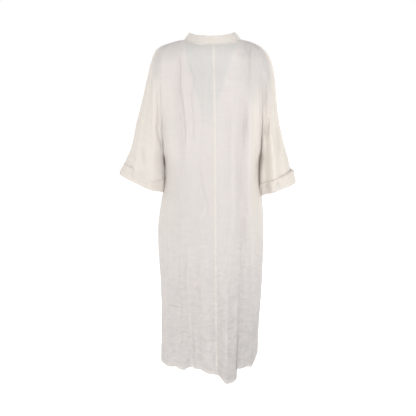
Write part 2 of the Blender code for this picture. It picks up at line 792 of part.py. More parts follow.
def new_object(name, verts, faces, finish):
    mesh = bpy.data.meshes.new(name)
    bm = bmesh.new()
    bv = [bm.verts.new(tuple(float(c) for c in v)) for v in verts]
    for f in faces:
        bm.faces.new([bv[k] for k in f])
    bmesh.ops.recalc_face_normals(bm, faces=bm.faces)
    bmesh.ops.triangulate(bm, faces=[f for f in bm.faces if len(f.verts) > 3])
    if bm.calc_volume(signed=True) < 0:
        bmesh.ops.reverse_faces(bm, faces=bm.faces)
    bm.to_mesh(mesh)
    bm.free()
    mesh.shade_smooth()
    mesh.set_sharp_from_angle(angle=math.radians(50))
    colour, rough = FINISH[finish]
    mat = bpy.data.materials.new(name + "_" + finish)
    mat.use_nodes = True
    bsdf = mat.node_tree.nodes["Principled BSDF"]
    bsdf.inputs["Base Color"].default_value = colour
    bsdf.inputs["Roughness"].default_value = rough
    bsdf.inputs["Metallic"].default_value = 0.0
    mesh.materials.append(mat)
    obj = bpy.data.objects.new(name, mesh)
    bpy.context.scene.collection.objects.link(obj)
    return obj


def main():
    for obj in list(bpy.data.objects):
        bpy.data.objects.remove(obj, do_unlink=True)
    cloth, grids = make_cloth()
    normals = cloth.normals()
    names = ("shoulder", "overarm", "pit", "cb", "sideseam", "underarm")
    seam_ids = {v for k, v in cloth.index.items() if k[0] in names}
    # below the slit's top the two edges part slowly
    slit = {}
    for key, v in cloth.index.items():
        if len(key) == 5 and key[2] == "B" and key[4] == seam_column(key[1]):
            z = BODY_ROWS[key[3]] * MM
            if z <= SLIT_TOP_Z - 1e-6:
                slit[v] = SLIT_OPEN * (SLIT_TOP_Z - z) / (SLIT_TOP_Z - HEM_Z)
    seam_ids |= set(slit)

    # the seams cross at the underarm point, so they part a little more there
    cross = {v: 0.5 * MM for k, v in cloth.index.items() if k[0] == "pit"}
    cross.update({v: 0.2 * MM for k, v in cloth.index.items()
                  if k[0] in ("sideseam", "underarm") and k[2] == 1})

    def gap_of(k):
        return SEAM_GAP / 2 + slit.get(k, 0.0) + cross.get(k, 0.0)

    for panel in ("back_left", "back_right", "front"):
        verts, faces = wall(cloth, normals, panel, seam_ids, gap_of)
        new_object(panel, verts, faces, "cloth")
    for side, name in (("L", "cuff_left"), ("R", "cuff_right")):
        verts, faces = cuff_wall(cloth, normals, grids, side)
        new_object(name, verts, faces, "double_cloth")
    verts, faces = collar_wall()
    new_object("collar", verts, faces, "double_cloth")


main()
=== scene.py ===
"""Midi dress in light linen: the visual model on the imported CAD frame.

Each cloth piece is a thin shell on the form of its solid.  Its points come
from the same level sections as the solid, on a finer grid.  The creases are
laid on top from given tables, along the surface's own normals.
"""
import math

import bpy
import numpy as np
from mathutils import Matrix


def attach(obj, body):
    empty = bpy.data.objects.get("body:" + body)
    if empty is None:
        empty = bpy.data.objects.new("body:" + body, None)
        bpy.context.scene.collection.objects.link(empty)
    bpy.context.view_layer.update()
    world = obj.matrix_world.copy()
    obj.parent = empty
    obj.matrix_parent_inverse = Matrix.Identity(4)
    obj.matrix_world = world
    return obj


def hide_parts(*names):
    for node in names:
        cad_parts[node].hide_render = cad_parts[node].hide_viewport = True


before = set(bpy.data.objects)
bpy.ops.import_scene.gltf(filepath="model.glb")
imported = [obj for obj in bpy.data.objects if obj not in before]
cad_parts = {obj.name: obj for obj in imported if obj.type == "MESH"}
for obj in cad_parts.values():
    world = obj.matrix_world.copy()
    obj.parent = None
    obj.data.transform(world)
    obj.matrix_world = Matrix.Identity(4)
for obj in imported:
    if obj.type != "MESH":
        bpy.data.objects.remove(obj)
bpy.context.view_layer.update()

RNG = np.random.default_rng(7)

# ------------------------------------------------------------------ sizes
MM = 0.001
CLOTH = 0.8 * MM           # thickness of one layer as it is drawn
DOUBLE = 1.3 * MM          # of the collar and the cuffs
INSET = 0.3 * MM           # of the shell's outer skin under the solid's
NECK_BACK_Y = 68 * MM
NECK_BACK_Z = 2 * MM
NECK_SIDE_Z = 18 * MM
V_TOP = (82 * MM, -30 * MM, 9 * MM)
COLLAR_HEIGHT = 27 * MM
COLLAR_LIFT = 0.4 * MM
CUFF_HEIGHT = 39 * MM
YOKE_Z = -60 * MM
ARMPIT_Z = -358 * MM
SLIT_TOP_Z = -965 * MM
SLIT_OPEN = 0.9 * MM
HEM_Z = -1055 * MM
HEM_BAND = 15 * MM         # turned hem
SEAM_BAND = 3.5 * MM       # seam allowance that shows through at the back
SLEEVE_SEAM_Y = -12 * MM
SHOULDER_TIP_Z = -5 * MM
FLOOR_Z = -1.42

OUTLINE = [
    # z,    left,  right
    (18,    88.0,  90.0),
    (14,   111.0, 110.0),
    (8,    133.0, 129.0),
    (2,    150.0, 142.5),
    (-5,   165.5, 154.5),
    (-16,  179.5, 167.5),
    (-30,  187.5, 179.5),
    (-60,  198.5, 193.0),
    (-110, 211.5, 202.5),
    (-170, 225.5, 207.5),
    (-240, 245.0, 216.5),
    (-300, 257.5, 230.0),
    (-335, 266.5, 239.5),
    (-358, 277.5, 247.0),
    (-380, 288.0, 252.5),
    (-414, 304.0, 260.5),
    (-446, 312.0, 270.0),
]
UPPER = [
    # z,   back, front, crease_x_left, crease_x_right, crease_back, crease_front, turn, sleeve_depth
    (-60,   97,  -86,  160.0, 153.5,  63, -57, 0.46, 50),
    (-110, 110, -106,  160.5, 155.5,  67, -65, 0.60, 54),
    (-170, 117, -121,  160.5, 157.0,  68, -69, 0.74, 56),
    (-240, 118, -125,  159.5, 158.0,  63, -65, 0.86, 57),
    (-300, 115, -121,  157.5, 157.5,  51, -54, 0.94, 57),
    (-335, 113, -118,  156.0, 157.0,  34, -39, 0.98, 57),
    (-358, 112, -116,  154.5, 155.5,   0,   0, 1.00, 56),
]
UNDERARM_Y = {"L": 2 * MM, "R": -8 * MM}
LOWER = [
    # z,   back, front, left,  right, box, seam_left, seam_right (degrees)
    (-358, 112, -116, 154.5, 155.5, 1.00, 90, 90),
    (-400, 112, -115, 152.5, 153.5, 0.98, 84, 90),
    (-450, 113, -114, 155.5, 156.0, 0.95, 74, 91),
    (-490, 115, -113, 164.5, 163.5, 0.93, 66, 92),
    (-540, 117, -113, 171.5, 167.5, 0.91, 62, 93),
    (-610, 120, -114, 176.5, 170.0, 0.90, 60, 94),
    (-700, 121, -116, 175.0, 169.5, 0.89, 60, 94),
    (-800, 121, -118, 171.0, 166.5, 0.89, 61, 94),
    (-900, 121, -119, 170.0, 162.0, 0.89, 62, 94),
    (-980, 121, -120, 172.0, 159.5, 0.90, 62, 93),
    (-1055, 122, -121, 174.0, 157.5, 0.91, 62, 93),
    (-1100, 122, -121, 174.0, 157.0, 0.91, 62, 93),
]
SLEEVE_END = {
    # side: inner_x, inner_z, outer_x, outer_z, depth
    "L": (155.8, -470, 303.0, -414, 50),
    "R": (154.5, -483, 269.0, -443, 52),
}
CUFF_PROUD = {
    # side: top_outer, top_inner, bottom_outer, bottom_inner
    "L": (0.9, 0.8, 1.2, 0.9),
    "R": (9.0, 1.6, 6.5, 1.4),
}
V_EDGE = [
    # z,    left, right
    (9,     82.0, -82.0),
    (-30,   77.0, -70.0),
    (-60,   72.5, -60.0),
    (-110,  60.0, -41.5),
    (-170,  41.5, -18.0),
    (-225,  19.0,   7.0),
    (-240,  13.0,  13.0),
]
V_POINT_Z = -240 * MM
CENTRE = [
    # z,    back_x, front_x
    (20,    -2,  13),
    (-110,  -6,  13),
    (-240,  -8,  13),
    (-460, -10,   9),
    (-760, -12,   4),
    (-1100, -17,  0),
]
HEM_LINE = [
    # x,    z
    (-180, -1026),
    (-151, -1025),
    (-146, -1036),
    (-140, -1042),
    (-133, -1053),
    (-108, -1049),
    (-84,  -1050),
    (-80,  -1058),
    (-77,  -1086),
    (-71,  -1095),
    (-62,  -1091),
    (-52,  -1089),
    (-42,  -1084),
    (-33,  -1076),
    (-20,  -1062),
    (-6,   -1061),
    (13,   -1058),
    (24,   -1053),
    (39,   -1046),
    (57,   -1043),
    (65,   -1034),
    (78,   -1040),
    (92,   -1051),
    (106,  -1051),
    (119,  -1045),
    (139,  -1051),
    (153,  -1053),
    (160,  -1044),
    (164,  -1034),
    (169,  -1029),
    (180,  -1030),
]

# Form folds, as the solid has them (mm).
FORM_FOLDS = [
    # face, name,            x0,   z0,   x1,   z1,    x2,    z2, width, height
    ("B", "long_trough",    -98, -130, -97,  -520,  -78, -1100,  17, -15),
    ("B", "trough_bulge",   -66, -150, -66,  -520,  -44, -1100,  24,   6),
    ("B", "hem_bulge",      -44, -760, -46,  -940,  -46, -1100,  26,  13),
    ("B", "left_trough",    112,  -20, 101,  -250,  100,  -440,  14,  -7),
    ("B", "left_column",    101,  -60, 101,  -520,   94, -1100,  14,   2),
    ("B", "left_ridge",      92,  -40,  84,  -250,   84,  -420,  16,   4),
    ("B", "low_left_ridge",  82, -620,  74,  -860,   66, -1100,  14,   8),
    ("B", "low_left_dip",    58, -640,  50,  -860,   40, -1100,  18,  -5),
    ("B", "side_fold_right",-146, -60, -147, -300, -150,  -560,   9,   7),
    ("B", "side_dip_right",-126, -100, -126, -400, -124,  -700,  10,  -5),
    ("B", "low_right_dip",  -128, -640,-122, -860, -116, -1100,  14,  -6),
    ("F", "front_trough_a",  96, -210,  84,  -560,   88, -1100,  20, -10),
    ("F", "front_ridge_a",   40, -420,  34,  -760,   26, -1100,  26,   8),
    ("F", "front_trough_b", -74, -200, -64,  -520,  -60, -1100,  18, -11),
    ("F", "front_ridge_b", -108, -330,-100,  -700,  -98, -1100,  20,   9),
    ("F", "front_trough_c",  -8, -560, -12,  -800,  -18, -1100,  20,  -7),
]
FORM_SLEEVE_FOLDS = [
    # side, face, name,    share_top, share_end, z_top, z_end, width, height (mm)
    ("L", "B", "long_fold",   0.60, 0.60, -110, -400, 0.16, -6),
    ("L", "B", "inner_roll",  0.28, 0.26, -180, -470, 0.20,  4),
    ("R", "B", "bright_roll", 0.42, 0.44,  -80, -440, 0.20,  8),
    ("R", "B", "inner_dip",   0.16, 0.18,  -90, -440, 0.13, -7),
    ("R", "B", "outer_dip",   0.72, 0.68, -120, -440, 0.14, -6),
    ("L", "F", "front_fold",  0.52, 0.50, -120, -420, 0.18, -6),
    ("R", "F", "front_fold",  0.58, 0.54, -110, -430, 0.18, -6),
]

# Creases of the back and the front, along points (x, z) in mm.  Left and
# right width are across the crease toward +x and -x; the ends fade over a
# share of its length; edge is 2 for a soft crease and less for a sharp one.
CREASES = [
    # face, name,          points,                               wide+, wide-, height, fade_in, fade_out, edge
    ("B", "left_line", [(110, -21), (100, -63), (101, -120), (93, -181), (86, -239), (86, -301), (93, -361)],
     4, 3, -2.6, 0.10, 0.30, 1.4),
    ("B", "left_line_roll", [(98, -30), (90, -70), (91, -120), (83, -181), (76, -239), (77, -301), (84, -361)],
     6, 8, 1.6, 0.15, 0.40, 1.7),
    ("B", "left_inner", [(83, -18), (68, -72), (59, -102), (65, -166), (59, -230), (61, -339)],
     4, 3, -1.7, 0.15, 0.35, 1.4),
    ("B", "back_v", [(34, -27), (5, -67), (13, -102), (15, -150), (15, -242)], 6, 6, -1.1, 0.25, 0.40, 1.6),
    ("B", "under_collar_a", [(48, -4), (44, -30), (40, -60)], 6, 9, -1.2, 0.05, 0.60, 1.6),
    ("B", "under_collar_b", [(-36, -2), (-40, -26), (-38, -70)], 8, 6, -1.0, 0.05, 0.60, 1.6),
    ("B", "right_shoulder", [(-114, 0), (-116, -15), (-117, -90), (-118, -169)], 5, 3, -2.4, 0.10, 0.40, 1.4),
    ("B", "right_shoulder_b", [(-104, -8), (-106, -60), (-108, -110)], 5, 5, 1.2, 0.20, 0.50, 1.6),
    ("B", "right_diagonal", [(-87, -15), (-100, -34), (-118, -52)], 6, 5, -0.9, 0.25, 0.25, 1.5),
    ("B", "right_main", [(-94, -90), (-97, -150), (-103, -235), (-98, -281), (-90, -359), (-90, -446), (-85, -536),
                         (-79, -631), (-75, -726), (-72, -820), (-71, -919), (-70, -1016), (-70, -1070)],
     12, 4, -2.1, 0.22, 0.0, 1.6),
    ("B", "bulge_flank", [(-64, -600), (-61, -760), (-59, -900), (-58, -1075)], 8, 9, -2.6, 0.30, 0.0, 2.0),
    ("B", "flank_line", [(-80, -560), (-78, -700), (-76, -850), (-75, -1010)], 3.6, 4, 1.5, 0.30, 0.15, 1.5),
    ("B", "trough_fill", [(-96, -140), (-97, -300), (-97, -470), (-92, -600)], 9, 9, 2.8, 0.25, 0.25, 2.0),
    ("B", "trough_fill_low", [(-92, -520), (-90, -700), (-86, -850), (-82, -1090)], 9, 12, 4.4, 0.30, 0.0, 2.0),
    ("B", "right_band", [(-112, -150), (-116, -227), (-127, -351), (-125, -478), (-120, -608)],
     13, 9, 1.6, 0.25, 0.30, 2.0),
    ("B", "right_crease_b", [(-105, -475), (-108, -510), (-115, -552)], 4, 4, -1.8, 0.30, 0.30, 1.4),
    ("B", "right_fill", [(-126, -90), (-128, -250), (-127, -450), (-124, -660)], 11, 9, 2.4, 0.20, 0.30, 2.0),
    ("B", "mid_curve", [(47, -351), (38, -389), (30, -449), (14, -501), (39, -561)], 6, 4, -2.0, 0.25, 0.30, 1.5),
    ("B", "mid_soft_a", [(40, -250), (46, -380), (52, -520), (46, -640)], 14, 10, -1.4, 0.30, 0.35, 2.0),
    ("B", "mid_soft_b", [(-34, -180), (-38, -330), (-44, -500), (-40, -620)], 12, 14, -1.3, 0.30, 0.35, 2.0),
    ("B", "mid_soft_c", [(22, -110), (24, -230), (20, -350)], 9, 12, 1.2, 0.30, 0.35, 2.0),
    ("B", "mid_soft_d", [(-56, -110), (-60, -240), (-62, -380)], 10, 8, 1.3, 0.30, 0.35, 2.0),
    ("B", "left_side_a", [(128, -380), (131, -520), (128, -660)], 8, 12, -1.9, 0.30, 0.30, 1.8),
    ("B", "left_side_b", [(141, -470), (143, -620), (139, -800), (136, -960)], 5, 7, 1.4, 0.25, 0.30, 1.7),
    ("B", "left_low_a", [(112, -640), (110, -760), (104, -880), (106, -1010)], 9, 6, -2.0, 0.30, 0.20, 1.7),
    ("B", "low_left", [(82, -659), (79, -707), (77, -783), (69, -854), (65, -919), (63, -1026)],
     6, 5, 1.5, 0.20, 0.15, 1.5),
    ("B", "low_left_dark", [(70, -680), (66, -800), (57, -900), (55, -1010)], 8, 8, 1.0, 0.25, 0.15, 1.6),
    ("B", "hem_dark", [(59, -947), (50, -985), (39, -1016)], 5, 5, -1.0, 0.25, 0.25, 1.5),
    ("B", "bulge_low", [(-26, -640), (-30, -800), (-30, -943), (-31, -1070)], 13, 11, 2.4, 0.30, 0.02, 2.0),
    ("B", "low_centre", [(14, -640), (8, -780), (4, -900), (10, -1020)], 8, 10, -1.6, 0.30, 0.25, 1.8),
    ("B", "low_right_a", [(-120, -680), (-119, -780), (-116, -900), (-113, -1040)], 12, 12, 2.2, 0.25, 0.10, 2.0),
    ("B", "low_right_b", [(-104, -560), (-107, -640), (-103, -720)], 7, 6, -1.0, 0.30, 0.30, 1.7),
    ("B", "low_right_c", [(-146, -620), (-147, -760), (-143, -900)], 5, 5, 1.4, 0.30, 0.30, 1.6),
    ("B", "left_valley", [(160, -30), (161, -110), (160, -170), (158, -236)], 17, 17, 1.4, 0.25, 0.30, 2.0),
    # small creases where the linen has been sat on and packed
    ("B", "nick_a", [(129, -876), (108, -868), (88, -853)], 4.2, 5.3, -1.2, 0.35, 0.35, 1.3),
    ("B", "nick_b", [(145, -931), (126, -926), (104, -918)], 4.2, 4.2, -1.2, 0.35, 0.35, 1.3),
    ("B", "nick_c", [(63, -892), (30, -896), (-3, -890)], 4.2, 5.3, -1.1, 0.35, 0.35, 1.3),
    ("B", "nick_d", [(28, -976), (12, -974), (-3, -978)], 3.6, 4.2, -1.1, 0.35, 0.35, 1.3),
    ("B", "nick_e", [(9, -990), (1, -1010), (-6, -1032)], 4.2, 3.6, -1.3, 0.30, 0.30, 1.3),
    ("B", "nick_f", [(-79, -788), (-98, -780), (-120, -772)], 4.2, 4.2, -1.3, 0.35, 0.35, 1.3),
    ("B", "nick_g", [(-91, -879), (-104, -868), (-117, -857)], 4.2, 4.2, -1.5, 0.30, 0.30, 1.3),
    ("B", "nick_h", [(-92, -858), (-103, -866), (-115, -878)], 3.6, 4.2, -1.1, 0.30, 0.30, 1.3),
    ("B", "nick_i", [(-76, -953), (-88, -941), (-98, -931)], 4.2, 4.2, -1.4, 0.30, 0.30, 1.3),
    ("B", "nick_j", [(-85, -995), (-106, -984), (-129, -966)], 4.2, 5.3, -1.5, 0.30, 0.30, 1.3),
    ("B", "nick_k", [(-91, -1027), (-112, -1024), (-135, -1016)], 4.2, 4.2, -1.3, 0.30, 0.30, 1.3),
    ("B", "nick_l", [(58, -706), (40, -716), (14, -712)], 4.2, 5.3, -0.9, 0.35, 0.35, 1.4),
    ("B", "nick_m", [(26, -766), (4, -774), (-24, -768)], 4.2, 5.3, -0.9, 0.35, 0.35, 1.4),
    ("B", "nick_n", [(-18, -842), (-36, -836), (-60, -846)], 4.2, 4.2, -0.9, 0.35, 0.35, 1.4),
    ("B", "nick_o", [(150, -836), (128, -828), (112, -834)], 4.2, 4.2, -0.9, 0.35, 0.35, 1.4),
    ("B", "nick_p", [(54, -1012), (34, -1004), (16, -1008)], 3.6, 4.2, -0.9, 0.35, 0.35, 1.4),
    ("B", "nick_q", [(-20, -936), (-34, -950), (-42, -972)], 4.2, 4.2, -0.9, 0.35, 0.35, 1.4),
    ("B", "nick_r", [(118, -986), (96, -994), (84, -1010)], 4.2, 4.2, -1.1, 0.35, 0.35, 1.4),
    ("B", "nick_s", [(-96, -700), (-112, -712), (-134, -708)], 4.2, 4.2, -1.1, 0.35, 0.35, 1.4),
    ("B", "nick_t", [(-86, -622), (-104, -614), (-118, -598)], 4.2, 4.2, -1.1, 0.35, 0.35, 1.4),
    ("B", "nick_u", [(20, -612), (-2, -606), (-26, -614)], 4.2, 5.3, -0.7, 0.35, 0.35, 1.4),
    ("B", "nick_v", [(104, -744), (88, -752), (78, -770)], 4.2, 4.2, -0.9, 0.35, 0.35, 1.4),
    # front
    ("F", "front_line_a", [(72, -60), (66, -160), (60, -300), (66, -460)], 7, 5, -2.2, 0.20, 0.35, 1.5),
    ("F", "front_line_b", [(-58, -80), (-60, -200), (-66, -340), (-64, -500)], 5, 8, -2.4, 0.20, 0.35, 1.5),
    ("F", "front_shoulder_l", [(120, -10), (116, -70), (112, -170)], 7, 5, -2.2, 0.15, 0.45, 1.5),
    ("F", "front_shoulder_r", [(-116, -8), (-118, -80), (-114, -180)], 5, 7, -2.2, 0.15, 0.45, 1.5),
    ("F", "front_point_l", [(16, -236), (24, -300), (26, -420)], 6, 6, -1.8, 0.05, 0.50, 1.6),
    ("F", "front_point_r", [(8, -238), (-4, -310), (-8, -450)], 6, 6, -1.8, 0.05, 0.50, 1.6),
    ("F", "front_main", [(88, -240), (92, -380), (84, -560), (88, -760), (90, -1040)], 6, 9, -3.0, 0.20, 0.05, 1.5),
    ("F", "front_band", [(-100, -260), (-104, -420), (-100, -640), (-98, -1040)], 10, 8, 2.6, 0.25, 0.05, 1.9),
    ("F", "front_long", [(-70, -520), (-64, -700), (-60, -900), (-62, -1050)], 8, 5, -2.4, 0.20, 0.05, 1.5),
    ("F", "front_mid", [(30, -440), (34, -620), (24, -820), (20, -1040)], 9, 6, 2.2, 0.30, 0.10, 1.7),
    ("F", "front_mid_b", [(0, -520), (-8, -700), (-14, -880), (-12, -1040)], 6, 8, -2.0, 0.30, 0.10, 1.6),
    ("F", "front_side_l", [(132, -400), (138, -580), (134, -800), (136, -1010)], 7, 9, -2.2, 0.25, 0.20, 1.7),
    ("F", "front_side_r", [(-136, -420), (-140, -620), (-134, -820), (-130, -1000)], 9, 7, -2.2, 0.25, 0.20, 1.7),
    ("F", "front_nick_a", [(120, -860), (98, -852), (76, -862)], 4.2, 5.3, -1.3, 0.35, 0.35, 1.3),
    ("F", "front_nick_b", [(48, -700), (22, -708), (-4, -700)], 4.2, 5.3, -1.1, 0.35, 0.35, 1.3),
    ("F", "front_nick_c", [(-34, -790), (-60, -782), (-84, -794)], 4.2, 5.3, -1.3, 0.35, 0.35, 1.3),
    ("F", "front_nick_d", [(66, -940), (40, -948), (14, -938)], 4.2, 4.2, -1.2, 0.35, 0.35, 1.3),
    ("F", "front_nick_e", [(-20, -980), (-46, -968), (-70, -974)], 4.2, 4.2, -1.3, 0.35, 0.35, 1.3),
    ("F", "front_nick_f", [(-96, -900), (-118, -908), (-138, -898)], 4.2, 4.2, -1.3, 0.35, 0.35, 1.3),
    ("F", "front_nick_g", [(110, -1000), (90, -990), (70, -996)], 4.2, 4.2, -1.2, 0.35, 0.35, 1.3),
    ("F", "front_nick_h", [(-30, -620), (-52, -628), (-70, -618)], 4.2, 5.3, -1.1, 0.35, 0.35, 1.4),
    ("F", "front_nick_i", [(100, -700), (82, -690), (60, -698)], 4.2, 5.3, -1.1, 0.35, 0.35, 1.4),
    ("F", "front_nick_j", [(10, -860), (-12, -852), (-36, -862)], 4.2, 5.3, -1.1, 0.35, 0.35, 1.4),
]
# Creases of the sleeves, the same way.
SLEEVE_CREASES = [
    ("B", "right_fold_in", [(-178, -70), (-184, -120), (-184, -186), (-177, -230), (-160, -309)],
     5, 7, -4.2, 0.25, 0.20, 1.5),
    ("B", "right_fold_out", [(-207, -130), (-209, -230), (-214, -330), (-216, -420)], 7, 5, -2.4, 0.25, 0.20, 1.6),
    ("B", "right_cap", [(-150, -8), (-163, -46), (-176, -96)], 6, 9, -1.6, 0.25, 0.30, 1.7),
    ("B", "left_fold", [(190, -50), (193, -74), (195, -180), (196, -288), (200, -380)], 8, 6, -2.6, 0.20, 0.30, 1.6),
    ("B", "left_underarm", [(179, -100), (167, -209), (169, -268), (157, -312), (151, -352)],
     6, 4, -3.0, 0.20, 0.15, 1.5),
    ("B", "left_valley", [(160, -30), (161, -110), (160, -170), (158, -236)], 17, 17, 1.4, 0.25, 0.30, 2.0),
    ("B", "left_cap", [(158, -10), (172, -50), (182, -110)], 9, 6, -1.6, 0.25, 0.30, 1.7),
    ("B", "left_outer", [(214, -150), (226, -240), (238, -330), (250, -400)], 7, 9, 1.6, 0.25, 0.30, 1.8),
    ("B", "left_low", [(232, -300), (222, -360), (206, -420)], 7, 6, -2.0, 0.25, 0.30, 1.6),
    ("B", "left_low_b", [(268, -350), (262, -380), (250, -402)], 6, 6, -1.8, 0.25, 0.30, 1.6),
    ("B", "right_low", [(-232, -330), (-222, -380), (-206, -430)], 6, 6, -1.8, 0.25, 0.30, 1.6),
    ("F", "left_front_a", [(180, -70), (186, -180), (192, -300), (204, -400)], 7, 6, -3.0, 0.20, 0.20, 1.6),
    ("F", "left_front_b", [(172, -150), (170, -250), (162, -330)], 6, 5, -3.0, 0.20, 0.20, 1.5),
    ("F", "left_front_c", [(216, -190), (232, -300), (252, -390)], 8, 7, 1.8, 0.25, 0.30, 1.8),
    ("F", "right_front_a", [(-176, -70), (-182, -180), (-190, -300), (-200, -420)], 6, 7, -3.0, 0.20, 0.20, 1.6),
    ("F", "right_front_b", [(-170, -150), (-172, -250), (-164, -330)], 5, 6, -3.0, 0.20, 0.20, 1.5),
    ("F", "right_front_c", [(-200, -210), (-212, -310), (-226, -400)], 7, 8, 1.6, 0.25, 0.30, 1.8),
]
# Creases of the two sides, along points (y, z) in mm; sign is +1 on the left.
SIDE_CREASES = [
    # sign, name,         points,                                        wide+, wide-, height, fade_in, fade_out, edge
    (1, "left_a", [(-40, -400), (-44, -560), (-36, -760), (-40, -1000)], 8, 10, -2.4, 0.25, 0.15, 1.7),
    (1, "left_b", [(-8, -470), (-4, -640), (-10, -820), (-4, -990)], 10, 8, 1.8, 0.25, 0.20, 1.8),
    (1, "left_c", [(30, -520), (34, -700), (28, -900)], 7, 9, -2.0, 0.30, 0.30, 1.7),
    (1, "left_d", [(-70, -560), (-64, -720), (-72, -930)], 9, 7, 1.8, 0.30, 0.30, 1.8),
    (-1, "right_a", [(-44, -430), (-40, -600), (-46, -800), (-42, -1010)], 10, 8, -2.4, 0.25, 0.15, 1.7),
    (-1, "right_b", [(-14, -420), (-10, -600), (-14, -800), (-10, -960)], 8, 9, 1.8, 0.25, 0.20, 1.8),
    (-1, "right_c", [(26, -480), (30, -680), (26, -880), (30, -1030)], 9, 7, -2.2, 0.30, 0.25, 1.7),
    (-1, "right_d", [(-72, -600), (-66, -780), (-70, -960)], 8, 8, 1.6, 0.30, 0.30, 1.8),
    (1, "left_nick_a", [(-60, -780), (-40, -790), (-16, -782)], 4.2, 5.3, -1.2, 0.35, 0.35, 1.3),
    (1, "left_nick_b", [(10, -880), (28, -872), (50, -882)], 4.2, 5.3, -1.2, 0.35, 0.35, 1.3),
    (1, "left_nick_c", [(-50, -940), (-30, -930), (-10, -938)], 4.2, 4.2, -1.2, 0.35, 0.35, 1.3),
    (-1, "right_nick_a", [(-54, -720), (-34, -728), (-12, -718)], 4.2, 5.3, -1.2, 0.35, 0.35, 1.3),
    (-1, "right_nick_b", [(-30, -860), (-8, -852), (14, -862)], 4.2, 5.3, -1.2, 0.35, 0.35, 1.3),
    (-1, "right_nick_c", [(10, -960), (30, -950), (46, -956)], 4.2, 4.2, -1.2, 0.35, 0.35, 1.3),
]
# Where the back lies over the open V of the front and is one layer of cloth; there the back is painted cooler and
# darker, painted shade for the open V seen through it.
OPEN_BACK = [
    # z,    left, right (mm)
    (6,      85, -78),
    (-50,    78, -57),
    (-90,    64, -44),
    (-135,   56, -29),
    (-181,   38, -15),
    (-225,   26,   0),
    (-252,   15,  11),
    (-262,   13,  13),
]
# How much of the left cuff shows under the sleeve that droops over it.
DROOP = [
    # share round the back of the ring, visible height (share of the cuff)
    (0.00, 1.00),
    (0.12, 1.00),
    (0.22, 0.85),
    (0.30, 0.62),
    (0.38, 0.50),
    (0.46, 0.30),
    (0.55, 0.18),
    (0.61, 0.16),
    (0.645, 0.30),
    (0.665, 0.92),
    (0.69, 1.00),
    (1.00, 1.00),
]
# Folds across the cuffs.
CUFF_FOLDS = [
    # side, face, share, width, height_top, height_bottom (mm)
    ("R", "B", 0.22, 0.060, 0.5, 1.8),
    ("R", "B", 0.31, 0.050, -1.6, -5.0),
    ("R", "B", 0.415, 0.040, 1.2, 3.2),
    ("R", "B", 0.52, 0.065, -3.0, -7.0),
    ("R", "B", 0.66, 0.070, 1.0, 1.6),
    ("R", "B", 0.80, 0.080, -0.8, -1.2),
    ("L", "B", 0.45, 0.050, -0.5, -3.6),
    ("L", "B", 0.37, 0.040, 0.4, 2.6),
    ("L", "B", 0.66, 0.050, -2.0, -1.0),
    ("L", "B", 0.84, 0.070, 0.8, -0.8),
    ("R", "F", 0.30, 0.060, -1.0, -3.4),
    ("R", "F", 0.62, 0.070, 1.0, 2.2),
    ("L", "F", 0.36, 0.060, -1.0, -3.2),
    ("L", "F", 0.66, 0.070, 1.0, 2.4),
]

# Grid: units are the solid's columns, and each unit is split further here.
NECK_UNITS = {"B": 7, "F": 2}
NECK_SHARE = {"B": 0.74, "F": 0.56}
SHOULDER_UNITS = 6
SLEEVE_UNITS = 6
GUIDES = {("R", "B"): (7, "long_trough"), ("L", "B"): (7, "left_column"),
          ("L", "F"): (4, "front_trough_a"), ("R", "F"): (3, "front_trough_b")}
SPLIT = {"B": 8, "F": 7}           # of the body's units
SLEEVE_SPLIT = {"B": 10, "F": 5}   # of the sleeve's units
YOKE_ROWS = 26
LEVEL_STEP = 3.25 * MM
BODY_STEP = 3.2 * MM
SLEEVE_STEP = 3.3 * MM


# ---------------------------------------------------------------- helpers
def column(table, key, value):
    """Value of one column of a table at one or more heights, smoothly."""
    keys = np.array([row[0] * MM for row in table])
    vals = np.array([float(row[key]) for row in table])
    if keys[0] > keys[-1]:
        keys, vals = keys[::-1], vals[::-1]
    value = np.clip(value, keys[0], keys[-1])
    step = np.diff(keys)
    slope = np.diff(vals) / step
    at = np.empty(len(keys))
    at[0], at[-1] = slope[0], slope[-1]
    a, b = slope[:-1], slope[1:]
    total = np.where(np.abs(a + b) < 1e-12, 1.0, a + b)
    at[1:-1] = np.where(a * b <= 0, 0.0, 2 * a * b / total)
    i = np.clip(np.searchsorted(keys, value, side="right") - 1, 0, len(step) - 1)
    t = (value - keys[i]) / step[i]
    return ((2 * t**3 - 3 * t**2 + 1) * vals[i] + (t**3 - 2 * t**2 + t) * step[i] * at[i]
            + (-2 * t**3 + 3 * t**2) * vals[i + 1] + (t**3 - t**2) * step[i] * at[i + 1])


def side_sign(side):
    return 1.0 if side == "L" else -1.0


def outline_x(side, z):
    return column(OUTLINE, 1 if side == "L" else 2, z) * MM


def smooth(t):
    t = np.clip(t, 0.0, 1.0)
    return t * t * (3 - 2 * t)


def bump(d):
    return np.where(np.abs(d) < 2.2, np.exp(-2.2 * d * d), 0.0)


def unit(v):
    return v / np.maximum(np.linalg.norm(v, axis=-1, keepdims=True), 1e-12)


def form_fold_height(face, x, z):
    total = 0.0 * x
    for row in FORM_FOLDS:
        if row[0] != face:
            continue
        x0, z0, x1, z1, x2, z2, width, height = (v * MM for v in row[2:])
        if z > z0 + 0.03 or z < z2 - 0.02:
            continue
        t = (z - z0) / (z1 - z0) if z > z1 else 1 + (z - z1) / (z2 - z1)
        line = x0 + (x1 - x0) * t if t < 1 else x1 + (x2 - x1) * (t - 1)
        fade = smooth((z0 + 0.03 - z) / 0.15)
        if z2 > -1.0:
            fade *= smooth((z - z2 + 0.02) / 0.15)
        total = total + height * fade * bump((x - line) / width)
    return total


